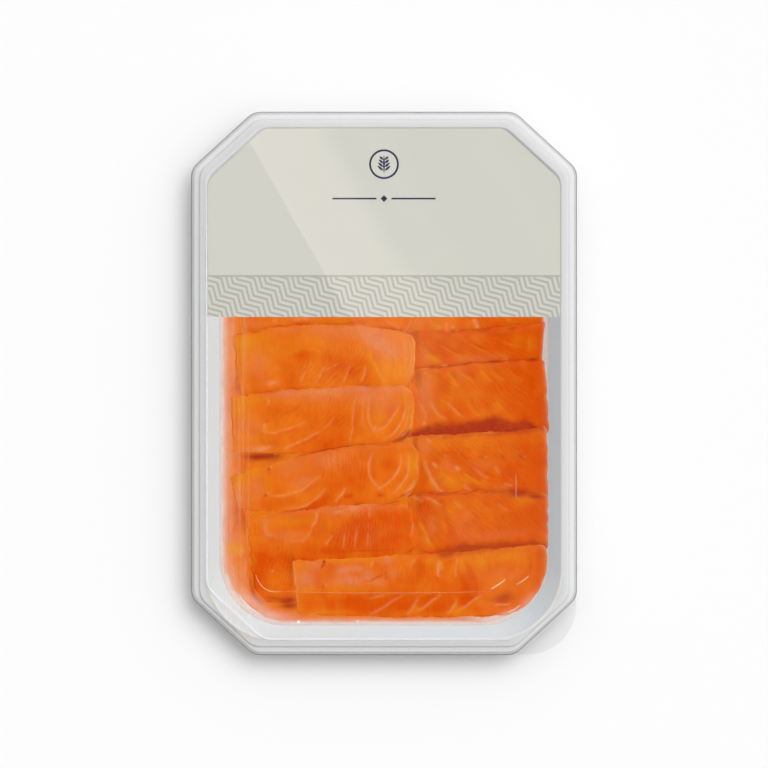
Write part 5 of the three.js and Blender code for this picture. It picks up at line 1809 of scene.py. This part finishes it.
def surrounding_light(strength):
    """A pale room: dim at the horizon, bright half way up, dark overhead so that the flat film stays
    clear, and a little brighter on the side of the key light."""
    world = bpy.data.worlds.new("pale_room")
    world.use_nodes = True
    tree = world.node_tree
    tree.nodes.clear()
    direction = add(tree, "TexCoord").outputs["Generated"]
    height = add(tree, "SeparateXYZ", {0: direction}).outputs[2]
    ramp = add(tree, "ValToRGB", {0: height})
    ramp.color_ramp.elements.remove(ramp.color_ramp.elements[1])
    for place, value in ROOM:
        element = ramp.color_ramp.elements[0] if place == 0 else ramp.color_ramp.elements.new(place)
        element.color = (value, value, value, 1)
    side = add(tree, "VectorMath", {0: direction, 1: KEY_SIDE}, operation="DOT_PRODUCT")
    lean = add(tree, "Math", {0: side.outputs["Value"], 1: KEY_GAIN, 2: 1.0}, operation="MULTIPLY_ADD")
    amount = add(tree, "Math", {0: ramp.outputs[0], 1: lean.outputs[0]}, operation="MULTIPLY")
    total = add(tree, "Math", {0: amount.outputs[0], 1: strength}, operation="MULTIPLY")
    sky = add(tree, "Background", {"Color": (1, 1, 1, 1), "Strength": total.outputs[0]})
    add(tree, "OutputWorld", {"Surface": sky.outputs[0]})
    bpy.context.scene.world = world


class SALMON_OT_stage(bpy.types.Operator):
    """Sets the table, the lights and the camera that looks straight down"""

    bl_idname = "salmon.stage"
    bl_label = "Stage"

    def execute(self, context):
        scene, tray, studio = context.scene, context.scene.salmon_tray, context.scene.salmon_studio
        mesh = bpy.data.meshes.new("table")
        corners = [(x * TABLE_HALF, y * TABLE_HALF, -TABLE_DROP) for x, y in QUADRANTS]
        mesh.from_pydata(corners, [], [(0, 1, 2, 3)])
        mesh.materials.append(table_white(studio.floor))
        table = bpy.data.objects.new("table", mesh)
        scene.collection.objects.link(table)

        lamp = bpy.data.lights.new("key", "SUN")
        lamp.energy = studio.key
        lamp.angle = studio.key_angle
        key = bpy.data.objects.new("key", lamp)
        key.location = KEY_PLACE
        key.rotation_mode = "QUATERNION"
        key.rotation_quaternion = key.location.to_track_quat("Z", "Y")
        key.visible_glossy = False
        scene.collection.objects.link(key)

        surrounding_light(studio.fill)

        camera = bpy.data.cameras.new("camera")
        camera.lens = studio.lens
        camera.sensor_width = SENSOR
        eye = bpy.data.objects.new("camera", camera)
        height = tray.rim + studio.view_width * studio.lens / camera.sensor_width
        eye.location = (0, EYE_Y, height)
        camera.clip_end = CLIP_END
        scene.collection.objects.link(eye)
        scene.camera = eye
        gloss_card(height, tray.rim)
        scene.view_settings.view_transform = "Standard"
        return {"FINISHED"}


# ---- Panel and running ------------------------------------------------------------------------

PARTS = (SALMON_OT_tray, SALMON_OT_bed, SALMON_OT_slices, SALMON_OT_lid, SALMON_OT_label, SALMON_OT_stage)
SETTINGS = {
    "salmon_tray": TraySizes,
    "salmon_lid": LidSizes,
    "salmon_label": LabelSizes,
    "salmon_flesh": SalmonSizes,
    "salmon_studio": StudioSizes,
}


class SALMON_PT_panel(bpy.types.Panel):
    """Lists the pack's parts and what can be changed on each"""

    bl_idname = "SALMON_PT_panel"
    bl_label = "Salmon Pack"
    bl_space_type = "VIEW_3D"
    bl_region_type = "UI"
    bl_category = "Salmon Pack"

    def draw(self, context):
        for part in PARTS:
            self.layout.operator(part.bl_idname)
        for name in SETTINGS:
            group = getattr(context.scene, name)
            box = self.layout.box()
            for field in group.bl_rna.properties:
                if field.identifier not in ("rna_type", "name"):
                    box.prop(group, field.identifier)


def register():
    for group in SETTINGS.values():
        bpy.utils.register_class(group)
    for kind in (*PARTS, SALMON_PT_panel):
        bpy.utils.register_class(kind)
    for name, group in SETTINGS.items():
        setattr(bpy.types.Scene, name, PointerProperty(type=group))


def unregister():
    for name in SETTINGS:
        delattr(bpy.types.Scene, name)
    for kind in (SALMON_PT_panel, *reversed(PARTS), *reversed(SETTINGS.values())):
        bpy.utils.unregister_class(kind)


def main():
    register()
    for part in PARTS:
        group, name = part.bl_idname.split(".")
        getattr(getattr(bpy.ops, group), name)()


if __name__ == "__main__":
    main()
